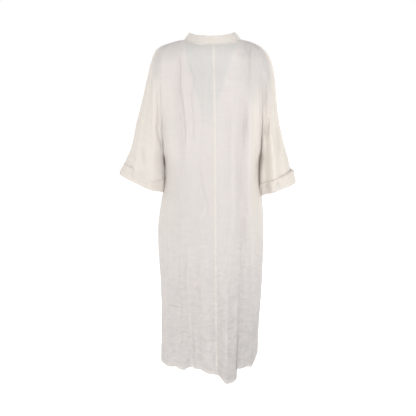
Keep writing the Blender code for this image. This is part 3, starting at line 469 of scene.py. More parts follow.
def form_sleeve_height(side, face, share, z):
    total = 0.0 * share
    for row in FORM_SLEEVE_FOLDS:
        if row[0] != side or row[1] != face:
            continue
        s0, s1, z0, z1, width, height = row[3:]
        z0, z1, height = z0 * MM, z1 * MM, height * MM
        t = np.clip((z - z0) / (z1 - z0), 0.0, 1.2)
        fade = smooth((z0 + 0.02 - z) / 0.10)
        total = total + height * fade * bump((share - s0 - (s1 - s0) * t) / width)
    return total


# --------------------------------------------------- rows of the sections
def body_arc(side, face, z, share, start=None):
    """Points of the body lobe at one height: share 0 at the centre, 1 at the
    crease or the side seam."""
    s = side_sign(side)
    out = 1.0 if face == "B" else -1.0
    share = np.atleast_1d(np.asarray(share, float))
    if z >= ARMPIT_Z - 1e-9:
        depth = column(UPPER, 1 if face == "B" else 2, z) * MM
        wide = column(UPPER, 3 if side == "L" else 4, z) * MM
        crease = column(UPPER, 5 if face == "B" else 6, z) * MM
        near = 1 - column(UPPER, 7, z)
        crease += UNDERARM_Y[side] * smooth(1 - near / 0.2)
        turn = column(UPPER, 7, z) * math.pi / 2
        first = 0.0
        if start is not None:
            first = math.asin(min(1, max(-1, start / wide * math.sin(turn))))
        a = first + (turn - first) * share
        x = wide * np.sin(a) / math.sin(turn)
        y = crease + (depth - crease) * (np.cos(a) - math.cos(turn)) / (1 - math.cos(turn))
        edge = np.abs(x) / wide
    else:
        back = column(LOWER, 1 if face == "B" else 2, z) * MM
        other = column(LOWER, 2 if face == "B" else 1, z) * MM
        wide = column(LOWER, 3 if side == "L" else 4, z) * MM
        box = column(LOWER, 5, z)
        seam = math.radians(column(LOWER, 6 if side == "L" else 7, z))
        last = seam if face == "B" else math.pi - seam
        mid = UNDERARM_Y[side] * smooth((z + 0.5) / 0.14)
        first = 0.0
        if start is not None:
            g = start / wide
            first = math.copysign(math.asin(min(1.0, abs(g)) ** (1 / box)), g)
        a = first + (last - first) * share
        x = wide * np.sign(np.sin(a)) * np.abs(np.sin(a)) ** box
        ca = np.cos(a)
        power = np.abs(ca) ** box
        y = np.where(ca > 0, mid + (back - mid) * power, mid - (mid - other) * power)
        edge = np.where(ca <= 0, 1.0, np.abs(x) / wide)
    calm = np.maximum(0.0, 1 - edge ** 10)
    y = y + out * calm * form_fold_height(face, s * x, z)
    return np.stack([s * x, y, np.full_like(x, z)], axis=-1)


def sleeve_arc(side, face, z, share):
    s = side_sign(side)
    out = 1.0 if face == "B" else -1.0
    crease = body_arc(side, face, z, 1.0)[0]
    far = outline_x(side, z)
    near = abs(crease[0])
    turn = column(UPPER, 7, z) * math.pi / 2
    depth = column(UPPER, 8, z) * MM
    a0 = -turn
    a = a0 + (math.pi / 2 - a0) * share
    x = near + (far - near) * (np.sin(a) - math.sin(a0)) / (1 - math.sin(a0))
    rest = crease[1] - SLEEVE_SEAM_Y - out * depth * math.cos(a0)
    y = SLEEVE_SEAM_Y + out * depth * np.cos(a) + rest * (1 - share) ** 2
    calm = np.clip(4 * share * (1 - share), 0, 1) ** 0.5
    y = y + out * calm * form_sleeve_height(side, face, (x - near) / (far - near), z)
    return np.stack([s * x, y, np.full_like(x, z)], axis=-1)


def sleeve_tube(side, face, along_in, along_out, share):
    """Points across the free sleeve between the underarm and its end."""
    s = side_sign(side)
    out = 1.0 if face == "B" else -1.0
    end = SLEEVE_END[side]
    pit = body_arc(side, "B", ARMPIT_Z, 1.0)[0]
    inner1 = np.array([s * end[0] * MM, SLEEVE_SEAM_Y, end[1] * MM])
    inner = pit + (inner1 - pit) * along_in
    inner[0] -= s * 1.4 * MM * max(0.0, math.sin(math.pi * min(1, along_in * 1.1))) ** 0.7
    z_out = ARMPIT_Z + (end[3] * MM - ARMPIT_Z) * along_out
    x_out = outline_x(side, z_out)
    x_out += (end[2] * MM - outline_x(side, end[3] * MM)) * smooth(along_out)
    outer = np.array([s * x_out, SLEEVE_SEAM_Y, z_out])
    depth0 = column(UPPER, 8, ARMPIT_Z) * MM
    mean = (along_in + along_out) / 2
    depth = depth0 + (end[4] * MM - depth0) * smooth(mean)
    a = -math.pi / 2 + math.pi * share
    k = (np.sin(a) + 1) / 2
    p = inner[None, :] * (1 - k)[:, None] + outer[None, :] * k[:, None]
    # the cloth lies flatter toward the inner seam, so the section is squarer there
    square = 1 - 0.62 * smooth(along_in * 2.5) * (1 - smooth(share / 0.5))
    p[:, 1] = (inner[1] * (1 - share) ** 2 + outer[1] * (1 - (1 - share) ** 2)
               + out * depth * np.maximum(np.cos(a), 0.0) ** square)
    calm = np.clip(4 * share * (1 - share), 0, 1) ** 0.5
    p[:, 1] += out * calm * form_sleeve_height(side, face, k, p[:, 2])
    return p


def neck_line(side, face, share):
    s = side_sign(side)
    nx = outline_x(side, NECK_SIDE_Z)
    cb = column(CENTRE, 1, 0.0) * MM
    if face == "B":
        a = share * math.pi / 2
        ca = np.maximum(np.cos(a), 0.0)
        return np.stack([s * nx * np.sin(a) + cb * ca ** 2, NECK_BACK_Y * ca ** 0.9,
                         NECK_BACK_Z + (NECK_SIDE_Z - NECK_BACK_Z) * np.sin(a) ** 3], axis=-1)
    vx, vy, vz = V_TOP
    return np.stack([s * (vx + (nx - vx) * np.sin(share * math.pi / 2)),
                     vy * (1 - share), vz + (NECK_SIDE_Z - vz) * share], axis=-1)


def shoulder_line(side, share):
    s = side_sign(side)
    x0, x1 = outline_x(side, NECK_SIDE_Z), outline_x(side, SHOULDER_TIP_Z)
    zs = np.linspace(SHOULDER_TIP_Z, NECK_SIDE_Z, 400)
    xs = outline_x(side, zs)
    x = x0 + (x1 - x0) * share
    z = np.interp(x, xs[::-1], zs[::-1])
    return np.stack([s * x, SLEEVE_SEAM_Y * smooth(share), z], axis=-1)


def fold_line(name, z):
    row = [r for r in FORM_FOLDS if r[1] == name][0]
    x0, z0, x1, z1, x2, z2 = (v * MM for v in row[2:8])
    if z > z1:
        return x0 + (x1 - x0) * (z - z0) / (z1 - z0)
    return x1 + (x2 - x1) * (z - z1) / (z2 - z1)


def spread(side, face, z, units, start):
    nn = NECK_UNITS[face]
    nb = nn + SHOULDER_UNITS
    neck = NECK_SHARE[face]
    led = np.where(units <= nn, neck * units / nn, neck + (1 - neck) * (units - nn) / (nb - nn))
    even = units / nb
    guide = GUIDES.get((side, face))
    if guide:
        col, name = guide
        tries = np.linspace(0, 1, 81)
        xs = np.maximum.accumulate(np.abs(body_arc(side, face, z, tries, start)[:, 0]) * np.sign(tries + 1e-9))
        at = float(np.interp(abs(fold_line(name, z)), xs + np.arange(81) * 1e-9, tries))
        even = np.where(units <= col, at * units / col, at + (1 - at) * (units - col) / (nb - col))
    return led + (even - led) * smooth((YOKE_Z - z) / 0.20)


def level_row(side, face, z, units, sleeve_share):
    inside = column(CENTRE, 1, z) * MM if face == "B" else column(V_EDGE, 1 if side == "L" else 2, z) * MM
    if face == "F" and z < V_POINT_Z:
        inside = column(CENTRE, 2, z) * MM
    start = side_sign(side) * inside
    body = body_arc(side, face, z, spread(side, face, z, units, start), start)
    return body, sleeve_arc(side, face, z, sleeve_share)


def hem_shift(x, z):
    xs = np.array([row[0] * MM for row in HEM_LINE])
    table = [(row[0], row[1]) for row in HEM_LINE]
    line = column(table, 1, np.clip(x, xs[0], xs[-1])) * MM
    return (line - HEM_Z) * smooth((-0.80 - z) / 0.22)


# ------------------------------------------------------------ the grids
def soften(body, row, free):
    """Rounds the bend in depth that the levels have at one row, where it is free."""
    rows = np.arange(len(body))[:, None]
    weight = 0.5 * np.exp(-((rows - row) / 13.0) ** 2) * free[None, :]
    z = body[..., 2]
    up, down = z[:-2] - z[1:-1], z[1:-1] - z[2:]
    for _ in range(70):
        y = body[..., 1]
        even = (y[:-2] * down + y[2:] * up) / (up + down)
        body[1:-1, :, 1] = y[1:-1] + weight[1:-1] * (even - y[1:-1])


def quadrant(side, face):
    """Body grid and sleeve grid of one quarter of the cloth."""
    nn, nb = NECK_UNITS[face], NECK_UNITS[face] + SHOULDER_UNITS
    units = np.arange(nb * SPLIT[face] + 1) / SPLIT[face]
    share = np.arange(SLEEVE_UNITS * SLEEVE_SPLIT[face] + 1) / (SLEEVE_UNITS * SLEEVE_SPLIT[face])
    total = nb + SLEEVE_UNITS
    all_units = np.concatenate([units, nb + share[1:] * SLEEVE_UNITS])
    cut = len(units)
    s = side_sign(side)

    low_b, low_s = level_row(side, face, YOKE_Z, units, share)
    low = np.concatenate([low_b, low_s[1:]])
    v = np.clip((all_units - nn) / (total - nn), 0, 1)
    top = np.where((all_units <= nn)[:, None],
                   neck_line(side, face, np.clip(all_units / nn, 0, 1)), shoulder_line(side, v))
    body, sleeve = [], []
    tip = shoulder_line(side, np.array([1.0]))[0]
    below_b, below_s = level_row(side, face, YOKE_Z - 2 * MM, units, share)
    below = np.concatenate([below_b, below_s[1:]])
    slope = (below[:, 1] - low[:, 1]) / (-2 * MM)             # of y against z, under the yoke
    fall = (low[:, 2] - top[:, 2]) * (0.5 * (1 - v) + (1 - 0.5 * (1 - v)) * math.pi / 2)
    for i in range(YOKE_ROWS):
        f = i / YOKE_ROWS
        a = f * math.pi / 2
        p = np.empty_like(low)
        p[:, 0] = top[:, 0] + (low[:, 0] - top[:, 0]) * (f * v + math.sin(a) * (1 - v))
        p[:, 1] = top[:, 1] + (low[:, 1] - top[:, 1]) * math.sin(a) + slope * fall * (f ** 4 - f ** 3)
        even = 0.5 * (1 - v) * f
        p[:, 2] = top[:, 2] + (low[:, 2] - top[:, 2]) * (even + (1 - 0.5 * (1 - v)) * (1 - math.cos(a)))
        edge_z = tip[2] + (YOKE_Z - tip[2]) * (1 - math.cos(a))
        straight = abs(tip[0]) + (outline_x(side, YOKE_Z) - abs(tip[0])) * f
        p[:, 0] += s * (outline_x(side, edge_z) - straight) * v ** 2
        if face == "F":
            edge = column(V_EDGE, 1 if side == "L" else 2, p[0, 2]) * MM
            p[:, 0] += (edge - p[0, 0]) * np.clip(1 - all_units / nn, 0, 1)
        body.append(p[:cut])
        sleeve.append(p[cut - 1:])
    n = int(round((YOKE_Z - ARMPIT_Z) / LEVEL_STEP))
    levels = YOKE_Z + (ARMPIT_Z - YOKE_Z) * np.arange(n + 1) / n
    for z in levels:
        b, sl = level_row(side, face, float(z), units, share)
        sl[0] = b[-1]
        body.append(b)
        sleeve.append(sl)
    pit_row = len(body) - 1

    n = int(round((ARMPIT_Z - HEM_Z) / BODY_STEP))
    for k in range(1, n + 1):
        z = ARMPIT_Z + (HEM_Z - ARMPIT_Z) * k / n
        start = s * column(CENTRE, 1 if face == "B" else 2, z) * MM
        p = body_arc(side, face, z, spread(side, face, z, units, start), start)
        seam = p[-1]
        if face == "B":
            p[:, 2] += hem_shift(p[:, 0], z)
        else:
            p[:, 2] += hem_shift(seam[0], z) * smooth((units / nb - 0.5) * 2)
        body.append(p)

    body = np.array(body)
    soften(body, pit_row, 1 - smooth((units / nb - 0.80) / 0.18))

    ci, co, length = sleeve_lengths(side)
    n = int(round(length / SLEEVE_STEP))
    for k in range(1, n + 1):
        t = k / n
        sleeve.append(sleeve_tube(side, face, *alongs(ci, co, t), share))
    sleeve = np.array(sleeve)
    soften(sleeve, pit_row, smooth((share - 0.02) / 0.22) * (1 - smooth((share - 0.84) / 0.14)))
    return {"side": side, "face": face, "body": np.array(body), "sleeve": sleeve,
            "pit": pit_row, "units": units, "share": share}


def sleeve_lengths(side):
    end = SLEEVE_END[side]
    pit = body_arc(side, "B", ARMPIT_Z, 1.0)[0]
    inner = math.dist((abs(pit[0]), pit[2]), (end[0] * MM, end[1] * MM))
    outer = math.dist((outline_x(side, ARMPIT_Z), ARMPIT_Z), (end[2] * MM, end[3] * MM))
    return 1 - CUFF_HEIGHT / inner, 1 - CUFF_HEIGHT / outer, (inner + outer) / 2


def alongs(ci, co, t):
    """Shares of the inner and the outer seam; the cuff starts at t = 0.6."""
    if t < 0.6:
        return ci * t / 0.6, co * t / 0.6
    k = (t - 0.6) / 0.4
    return ci + (1 - ci) * k, co + (1 - co) * k


def grid_normals(p, sign):
    du = np.gradient(p, axis=1)
    dv = np.gradient(p, axis=0)
    return unit(np.cross(dv, du) * sign)


# ------------------------------------------------------------- creases
def crease_height(points, path, wide_a, wide_b, height, fade_in, fade_out, edge):
    """Height of one crease at 2-D points (metres)."""
    path = np.array(path, float) * MM
    wide_a, wide_b, height = wide_a * MM, wide_b * MM, height * MM
    reach = 3.2 * max(wide_a, wide_b)
    lo, hi = path.min(axis=0) - reach, path.max(axis=0) + reach
    near = np.all((points >= lo) & (points <= hi), axis=-1)
    result = np.zeros(points.shape[:-1])
    q = points[near]
    if not len(q):
        return result
    # a smooth line through the path's points
    fine = np.linspace(0, len(path) - 1, (len(path) - 1) * 6 + 1)
    k = np.clip(fine.astype(int), 0, len(path) - 2)
    t = (fine - k)[:, None]
    ext = np.vstack([2 * path[0] - path[1], path, 2 * path[-1] - path[-2]])
    p0, p1, p2, p3 = ext[k], ext[k + 1], ext[k + 2], ext[k + 3]
    line = 0.5 * (2 * p1 + (p2 - p0) * t + (2 * p0 - 5 * p1 + 4 * p2 - p3) * t ** 2
                  + (3 * p1 - p0 - 3 * p2 + p3) * t ** 3)
    length = np.concatenate([[0], np.cumsum(np.linalg.norm(np.diff(line, axis=0), axis=1))])
    best = np.full(len(q), 1e9)
    side = np.zeros(len(q))
    where = np.zeros(len(q))
    for i in range(len(line) - 1):
        a, d = line[i], line[i + 1] - line[i]
        n = np.linalg.norm(d)
        if n < 1e-9:
            continue
        u = np.clip(((q - a) @ d) / n ** 2, 0, 1)
        r = q - a - u[:, None] * d
        dist = np.linalg.norm(r, axis=1)
        better = dist < best
        best = np.where(better, dist, best)
        side = np.where(better, np.sign(d[0] * r[:, 1] - d[1] * r[:, 0]), side)
        where = np.where(better, length[i] + u * n, where)
    share = where / length[-1]
    fade = smooth(share / max(fade_in, 1e-3)) * smooth((1 - share) / max(fade_out, 1e-3))
    down = line[0][1] > line[-1][1] or line[0][0] > line[-1][0]
    plus = side > 0 if down else side < 0
    wide = np.where(plus, wide_a, wide_b)
    # a short round tip, so that a sharp crease keeps no spike
    d = np.sqrt((best / wide) ** 2 + 0.02) - 0.1414
    result[near] = height * fade * np.exp(-(np.maximum(d, 0) * 1.1) ** edge)
    return result


LATTICE = RNG.random((32, 32, 32)) * 2 - 1


def noise(p):
    """Soft value noise between about -1 and 1 at 3-D points."""
    base = np.floor(p).astype(int)
    f = p - base
    f = f * f * f * (f * (f * 6 - 15) + 10)
    total = 0.0
    for i in (0, 1):
        for j in (0, 1):
            for k in (0, 1):
                w = (np.where(i, f[..., 0], 1 - f[..., 0]) * np.where(j, f[..., 1], 1 - f[..., 1])
                     * np.where(k, f[..., 2], 1 - f[..., 2]))
                c = (base + (i, j, k)) % 32
                total = total + w * LATTICE[c[..., 0], c[..., 1], c[..., 2]]
    return total


def small_wrinkles(face):
    """Short creases all over the lower body, uneven in every way."""
    rows = []
    for _ in range(230 if face == "B" else 200):
        z = -430 - 620 * RNG.random() ** 0.7
        x = RNG.uniform(-158, 158)
        lean = RNG.normal(0, 0.5) if RNG.random() < 0.75 else RNG.normal(1.3, 0.25)
        size = RNG.uniform(14, 44) * (1 if RNG.random() < 0.8 else 1.6)
        dx, dz = size * math.cos(lean) / 2, size * math.sin(lean) / 2
        bow = RNG.normal(0, 0.16) * size
        low = 0.4 + 0.6 * min(1.0, max(0.0, (-z - 430) / 350))
        height = RNG.uniform(0.35, 1.1) * (1 if RNG.random() < 0.5 else -1) * low
        rows.append((face, "small", [(x + dx, z + dz), (x + bow * math.sin(lean), z + bow * math.cos(lean)),
                                     (x - dx, z - dz)],
                     RNG.uniform(3.4, 6.5), RNG.uniform(3.4, 6.5), height, 0.4, 0.4, RNG.uniform(1.2, 1.6)))
    return rows


STRENGTH = 1.5             # of all creases in the tables
SMALL_STRENGTH = 1.15
CLOTH_CREASES = CREASES + small_wrinkles("B") + small_wrinkles("F")


def cloth_height(p, n, face, part):
    """All creases of the cloth at its points, along its normals."""
    flat = p[..., [0, 2]]
    facing = smooth((np.abs(n[..., 1]) - 0.22) / 0.35)
    total = np.zeros(p.shape[:-1])
    table = CLOTH_CREASES if part == "body" else SLEEVE_CREASES
    for row in table:
        if row[0] == face:
            strong = SMALL_STRENGTH if row[1] == "small" or "nick" in row[1] else STRENGTH
            total += crease_height(flat, *row[2:]) * facing * strong
    if part == "body":
        sides = smooth((np.abs(n[..., 0]) - 0.45) / 0.35) * smooth((-0.36 - p[..., 2]) / 0.06)
        for row in SIDE_CREASES:
            total += STRENGTH * crease_height(p[..., [1, 2]], *row[2:]) * sides * (np.sign(p[..., 0]) == row[0])
    low = smooth((-0.45 - p[..., 2]) / 0.4)
    tall = p * np.array([30.0, 30.0, 5.0])
    total += 0.9 * MM * noise(tall + 3.1)
    total += 0.35 * MM * noise(p * np.array([85.0, 85.0, 16.0]) + 9.7)
    total += (0.18 + 0.30 * low) * MM * noise(p * np.array([48.0, 48.0, 95.0]) + 17.3)
    total += (0.07 + 0.16 * low) * MM * noise(p * np.array([130.0, 130.0, 180.0]) + 5.9)
    return total


# --------------------------------------------------------------- meshes
def make_shell(name, p, n, quads, thick, uv, **values):
    """Closed thin cloth: outer skin, inner skin and the rim between them."""
    count = len(p)
    e = np.concatenate([quads[:, [0, 1]], quads[:, [1, 2]], quads[:, [2, 3]], quads[:, [3, 0]]])
    code = np.sort(e, axis=1)
    code = code[:, 0] * count + code[:, 1]
    _, back, times = np.unique(code, return_inverse=True, return_counts=True)
    rim = e[times[back] == 1]
    verts = np.concatenate([p, p - n * np.asarray(thick).reshape(-1, 1)])
    faces = np.concatenate([quads, quads[:, ::-1] + count,
                            np.stack([rim[:, 1], rim[:, 0], rim[:, 0] + count, rim[:, 1] + count], axis=1)])
    mesh = bpy.data.meshes.new(name)
    mesh.vertices.add(len(verts))
    mesh.vertices.foreach_set("co", verts.astype(np.float32).ravel())
    mesh.loops.add(faces.size)
    mesh.loops.foreach_set("vertex_index", faces.astype(np.int32).ravel())
    mesh.polygons.add(len(faces))
    mesh.polygons.foreach_set("loop_start", (np.arange(len(faces)) * 4).astype(np.int32))
    layer = mesh.uv_layers.new(name="cut")
    corner = np.tile(uv, (2, 1))[faces.ravel()]
    layer.data.foreach_set("uv", corner.astype(np.float32).ravel())
    for key, val in values.items():
        at = mesh.attributes.new(key, "FLOAT", "POINT")
        at.data.foreach_set("value", np.tile(val, 2).astype(np.float32))
    mesh.update(calc_edges=True)
    mesh.validate()
    mesh.shade_smooth()
    mesh.set_sharp_from_angle(angle=math.radians(62))
    obj = bpy.data.objects.new(name, mesh)
    bpy.context.scene.collection.objects.link(obj)
    area = float(sum(t.area for t in mesh.polygons)) / 2
    print(f"{name}: {len(verts)} points, {len(faces) * 2} triangles, cloth {area:.4f} m2")
    return obj


def grid_quads(ids, flip):
    q = np.stack([ids[:-1, :-1], ids[1:, :-1], ids[1:, 1:], ids[:-1, 1:]], axis=-1).reshape(-1, 4)
    return q[:, ::-1] if flip else q


def lengths(p, axis):
    d = np.linalg.norm(np.diff(p, axis=axis), axis=-1)
    pad = [(0, 0), (0, 0)]
    pad[axis] = (1, 0)
    return np.cumsum(np.pad(d, pad), axis=axis)


def prepare():
    quads = {}
    for side in "LR":
        for face in "BF":
            g = quadrant(side, face)
            sign = side_sign(side) * (1 if face == "B" else -1)
            g["nb"] = grid_normals(g["body"], sign)
            g["ns"] = grid_normals(g["sleeve"], sign)
            quads[side, face] = g
    for g in quads.values():     # outward, whichever way the columns run
        if np.mean(g["nb"][..., 1]) * (1 if g["face"] == "B" else -1) < 0:
            g["nb"], g["ns"] = -g["nb"], -g["ns"]
    for g in quads.values():     # one normal on the crease down to the underarm
        k = g["pit"] + 1
        both = unit(g["nb"][:k, -1] + g["ns"][:k, 0])
        g["nb"][:k, -1] = both
        g["ns"][:k, 0] = both
    for side in "LR":            # one normal on each seam
        b, f = quads[side, "B"], quads[side, "F"]
        k = b["pit"]
        for key, cut in (("nb", slice(k + 1, None)), ("ns", slice(None))):
            both = unit(b[key][cut, -1] + f[key][cut, -1])
            b[key][cut, -1] = both
            f[key][cut, -1] = both
        both = unit(b["ns"][k + 1:, 0] + f["ns"][k + 1:, 0])
        b["ns"][k + 1:, 0] = both
        f["ns"][k + 1:, 0] = both
        for g in (b, f):
            g["hb"] = cloth_height(g["body"], g["nb"], g["face"], "body")
            g["hs"] = cloth_height(g["sleeve"], g["ns"], g["face"], "sleeve")
        for key, grid, col, rows in (("hb", "body", -1, slice(k + 1, None)), ("hs", "sleeve", -1, slice(None)),
                                     ("hs", "sleeve", 0, slice(k + 1, None))):
            meet = 0.5 * (b[key][rows, col] + f[key][rows, col])
            for g in (b, f):               # both sides of a seam lie at one height
                off = meet - g[key][rows, col]
                run = lengths(g[grid], 1)[rows]
                far = run[:, -1:] - run if col == -1 else run
                g[key][rows] += off[:, None] * np.exp(-(far / (16 * MM)) ** 2)
        for g in (b, f):
            g["nb"][k, -1] = g["ns"][k, 0] = (0, 0, -1)
            # the shoulder line: across the line, upward
            for key, grid in (("nb", "body"), ("ns", "sleeve")):
                row = g[grid][0]
                first = NECK_UNITS[g["face"]] * SPLIT[g["face"]] if key == "nb" else 0
                along = unit(np.gradient(row, axis=0))
                up = unit(np.array([0, 0, 1.0]) - along * along[:, 2:3])
                g[key][0, first:] = up[first:]
    for face in "BF":
        left, right = quads["L", face], quads["R", face]
        k = 0 if face == "B" else int(np.argmax(left["body"][:, 0, 2] <= V_POINT_Z + 1e-6))
        both = unit(left["nb"][k:, 0] + right["nb"][k:, 0])
        left["nb"][k:, 0] = both
        right["nb"][k:, 0] = both
    return quads


def droop(side, face, share, drop):
    """How far the left sleeve stands off over its cuff.  drop is the height
    above the sleeve's end, as a share of the cuff."""
    if side != "L" or face != "B":
        return np.zeros_like(drop)
    xs, ys = zip(*DROOP)
    line = np.interp(share, xs, ys)
    much = smooth((1.0 - line) / 0.10)
    over = smooth((drop - line + 0.04) / 0.08)
    fade = 1 - smooth((drop - 1.0) / 1.6)
    return (5.6 * over * fade - 1.0 * (1 - over)) * much * MM


def dress_panel(name, parts, thick=CLOTH):
    """One cloth piece from its quarters, with creases, hems and seams."""
    points, normals, uvs, quads, doubled, warm, low, single, press = [], [], [], [], [], [], [], [], []
    offset = 0
    centre_ids = {}
    for g in parts:
        side, face = g["side"], g["face"]
        body, nb = g["body"], g["nb"]
        sleeve, ns = g["sleeve"], g["ns"]
        k = g["pit"]
        hb, hs = g["hb"].copy(), g["hs"].copy()
        # the two lobes agree along their crease
        hb[:k + 1, -1] = hs[:k + 1, 0] = 0.5 * (hb[:k + 1, -1] + hs[:k + 1, 0])
        rows_b = np.arange(body.shape[0])[:, None]
        # hems, seams and turned edges
        across = lengths(body, 1)
        from_hem = lengths(body[::-1], 0)[::-1]
        from_seam = across[:, -1:] - across
        dbl = np.zeros(body.shape[:2])
        hem = smooth((HEM_BAND - from_hem) / (1.6 * MM))
        dbl = np.maximum(dbl, 0.40 * hem)
        hb += 0.35 * MM * hem - 0.3 * MM * bump((from_hem - HEM_BAND - 0.6 * MM) / (1.6 * MM))
        if face == "B":
            cb = smooth((SEAM_BAND - across) / (1.5 * MM))
            dbl = np.maximum(dbl, 0.8 * cb)
            hb += 0.45 * MM * cb - 0.7 * MM * bump(across / (0.9 * MM))
            hb -= 0.35 * MM * bump((across - SEAM_BAND - 0.8 * MM) / (1.8 * MM))
            neck = smooth((5 * MM - lengths(body, 0)) / (1.5 * MM)) * (np.arange(body.shape[1])[None, :] <= NECK_UNITS[face] * SPLIT[face])
            dbl = np.maximum(dbl, neck * 0.6)
        else:
            open_v = smooth((body[:, :1, 2] - V_POINT_Z + 0.004) / 0.006)
            edge = smooth((9 * MM - across) / (1.4 * MM)) * open_v
            dbl = np.maximum(dbl, edge)
            hb += 0.3 * MM * edge
        seam_on = smooth((rows_b - k) / 6.0)
        seam = smooth((4.5 * MM - from_seam) / (1.4 * MM)) * seam_on
        dbl = np.maximum(dbl, seam * 0.3)
        hb += 0.3 * MM * seam - 0.8 * MM * bump(from_seam / (1.1 * MM)) * seam_on
        # the sleeve
        total = lengths(sleeve, 0)
        from_end = total[-1:] - total
        share = g["share"][None, :]
        hs += droop(side, face, share + 0 * from_end, from_end / CUFF_HEIGHT) \
            * smooth(share * 12) * smooth((1 - share) * 12)
        tucked = smooth((from_end / CUFF_HEIGHT - 0.9) / 0.3)
        hs = hs * np.maximum(tucked, 1.0 if side == "L" and face == "B" else 0.35)
        across_s = lengths(sleeve, 1)
        rows_s = np.arange(sleeve.shape[0])[:, None]
        over = smooth((4 * MM - (across_s[:, -1:] - across_s)) / (1.4 * MM))
        under = smooth((4 * MM - across_s) / (1.4 * MM)) * smooth((rows_s - k) / 6.0)
        dbl_s = np.maximum(over, under) * 0.3
        hs += 0.25 * MM * over - 0.5 * MM * bump((across_s[:, -1:] - across_s) / (1.1 * MM))
        hb[:k + 1, -1] = hs[:k + 1, 0]
        sh = smooth((4 * MM - lengths(body, 0)) / (1.4 * MM)) * (np.arange(body.shape[1])[None, :] > NECK_UNITS[face] * SPLIT[face])
        dbl = np.maximum(dbl, sh * 0.3)

        pb = body + nb * (hb - INSET)[..., None]
        ps = sleeve + ns * (hs - INSET)[..., None]
        # the slits open toward the hem
        z = body[:, -1, 2]
        slit = SLIT_OPEN * smooth((SLIT_TOP_Z - z) / (SLIT_TOP_Z - HEM_Z)) * (z < SLIT_TOP_Z)
        inward = unit(body[:, -3] - body[:, -1])
        near = np.exp(-(from_seam / (14 * MM)) ** 2)
        pb += inward[:, None, :] * (slit[:, None] * near)[..., None]

        ids_b = offset + np.arange(pb[..., 0].size).reshape(pb.shape[:2])
        if face == "F" and side == "R":
            kf = centre_ids["row"]
            ids_b[kf:, 0] = centre_ids["ids"]
        elif face == "F":
            kf = int(np.argmax(body[:, 0, 2] <= V_POINT_Z + 1e-6))
            centre_ids = {"row": kf, "ids": ids_b[kf:, 0].copy()}
        offset += pb[..., 0].size
        ids_s = offset + np.arange(ps[..., 0].size).reshape(ps.shape[:2])
        ids_s[:k + 1, 0] = ids_b[:k + 1, -1]
        offset += ps[..., 0].size
        flip = (side == "L") == (face == "B")
        quads += [grid_quads(ids_b, flip), grid_quads(ids_s, flip)]
        ub, vb = across * side_sign(side), -lengths(body, 0)[:, :1] + 0 * across
        us = (across[:1, -1:] + across_s) * side_sign(side)
        us[:k + 1] = (across[:k + 1, -1:] + across_s[:k + 1]) * side_sign(side)
        vs = -lengths(sleeve, 0)[:, -1:] + 0 * across_s
        for store, b, sl in ((points, pb, ps), (normals, nb, ns)):
            store += [b.reshape(-1, 3), sl.reshape(-1, 3)]
        uvs += [np.stack([ub, vb], -1).reshape(-1, 2), np.stack([us, vs], -1).reshape(-1, 2)]
        doubled += [dbl.ravel(), dbl_s.ravel()]
        # creamier toward the body's sides and on the sleeves, partly painted light: the larger share on the right side
        # and on the right sleeve
        out = smooth((np.abs(body[..., 0]) - 0.10) / 0.04)
        out = out * np.where(body[..., 0] < 0, 0.75, 0.40) * (1 - smooth((-0.42 - body[..., 2]) / 0.35))
        # painted shade: the shoulders are plain and painted a little darker, and the cream starts below them
        shoulder_shade, start, fade = (0.36, -0.23, 0.14) if side == "R" else (0.10, -0.17, 0.12)
        crown_b = smooth((body[..., 2] - start) / fade) * smooth((np.abs(body[..., 0]) - 0.06) / 0.05)
        crown_s = smooth((sleeve[..., 2] - start) / fade) * (1 - smooth((share - 0.40) / 0.30))
        warm += [(out * (1 - crown_b)).ravel(), ((0.35 + (0.40 if side == "L" else 0.65) * smooth(share * 3) + 0 * across_s) * (1 - crown_s)).ravel()]
        # painted shade: the cloth is painted darker towards the hem, and low on the back's right side
        down = 0.64 * np.clip((-0.42 - body[..., 2]) / 0.62, 0, 1) ** 1.85
        if face == "B":
            down += 0.46 * smooth((-0.03 - body[..., 0]) / 0.05) * np.clip((-0.55 - body[..., 2]) / 0.5, 0, 1)
        # painted shade: the shoulders, and the whole left sleeve, take some of the shade colour
        low += [(down + shoulder_shade * crown_b).ravel(), (shoulder_shade * crown_s + (0.20 if side == "L" else 0.0)).ravel()]
        # the pressed lines and the painted crease highlights grow with the same amount, and the doubled cream fades
        # with the painted shade
        press += [down.ravel(), np.zeros(ps[..., 0].size)]
        doubled[-2] = (dbl * (1 - 0.5 * down)).ravel()
        if face == "B":
            # painted shade: the one-layer back over the open V is painted cooler and darker, as the V seen through it
            zz = np.clip(body[..., 2], -0.262, 0.006)
            left, right = column(OPEN_BACK, 1, zz) * MM, column(OPEN_BACK, 2, zz) * MM
            inside = np.minimum(left - body[..., 0], body[..., 0] - right)
            see_through_shade_mask = smooth(inside / (9 * MM) + 0.5) * (0.25 + 0.75 * smooth((body[..., 2] + 0.25) / 0.12))
            single += [see_through_shade_mask.ravel(), np.zeros(ps[..., 0].size)]
        else:
            single += [np.zeros(pb[..., 0].size), np.zeros(ps[..., 0].size)]
    p, n = np.concatenate(points), np.concatenate(normals)
    q = np.concatenate(quads)
    # drop points that a neighbour stands for
    used, q = np.unique(q, return_inverse=True)
    q = q.reshape(-1, 4)
    uv = np.concatenate(uvs)[used]
    dbl = np.concatenate(doubled)[used]
    return make_shell(name, p[used], n[used], q, thick * (1 + 0.5 * dbl), uv, doubled=dbl,
                      warm=np.concatenate(warm)[used], low=np.concatenate(low)[used],
                      single=np.concatenate(single)[used], press=np.concatenate(press)[used])


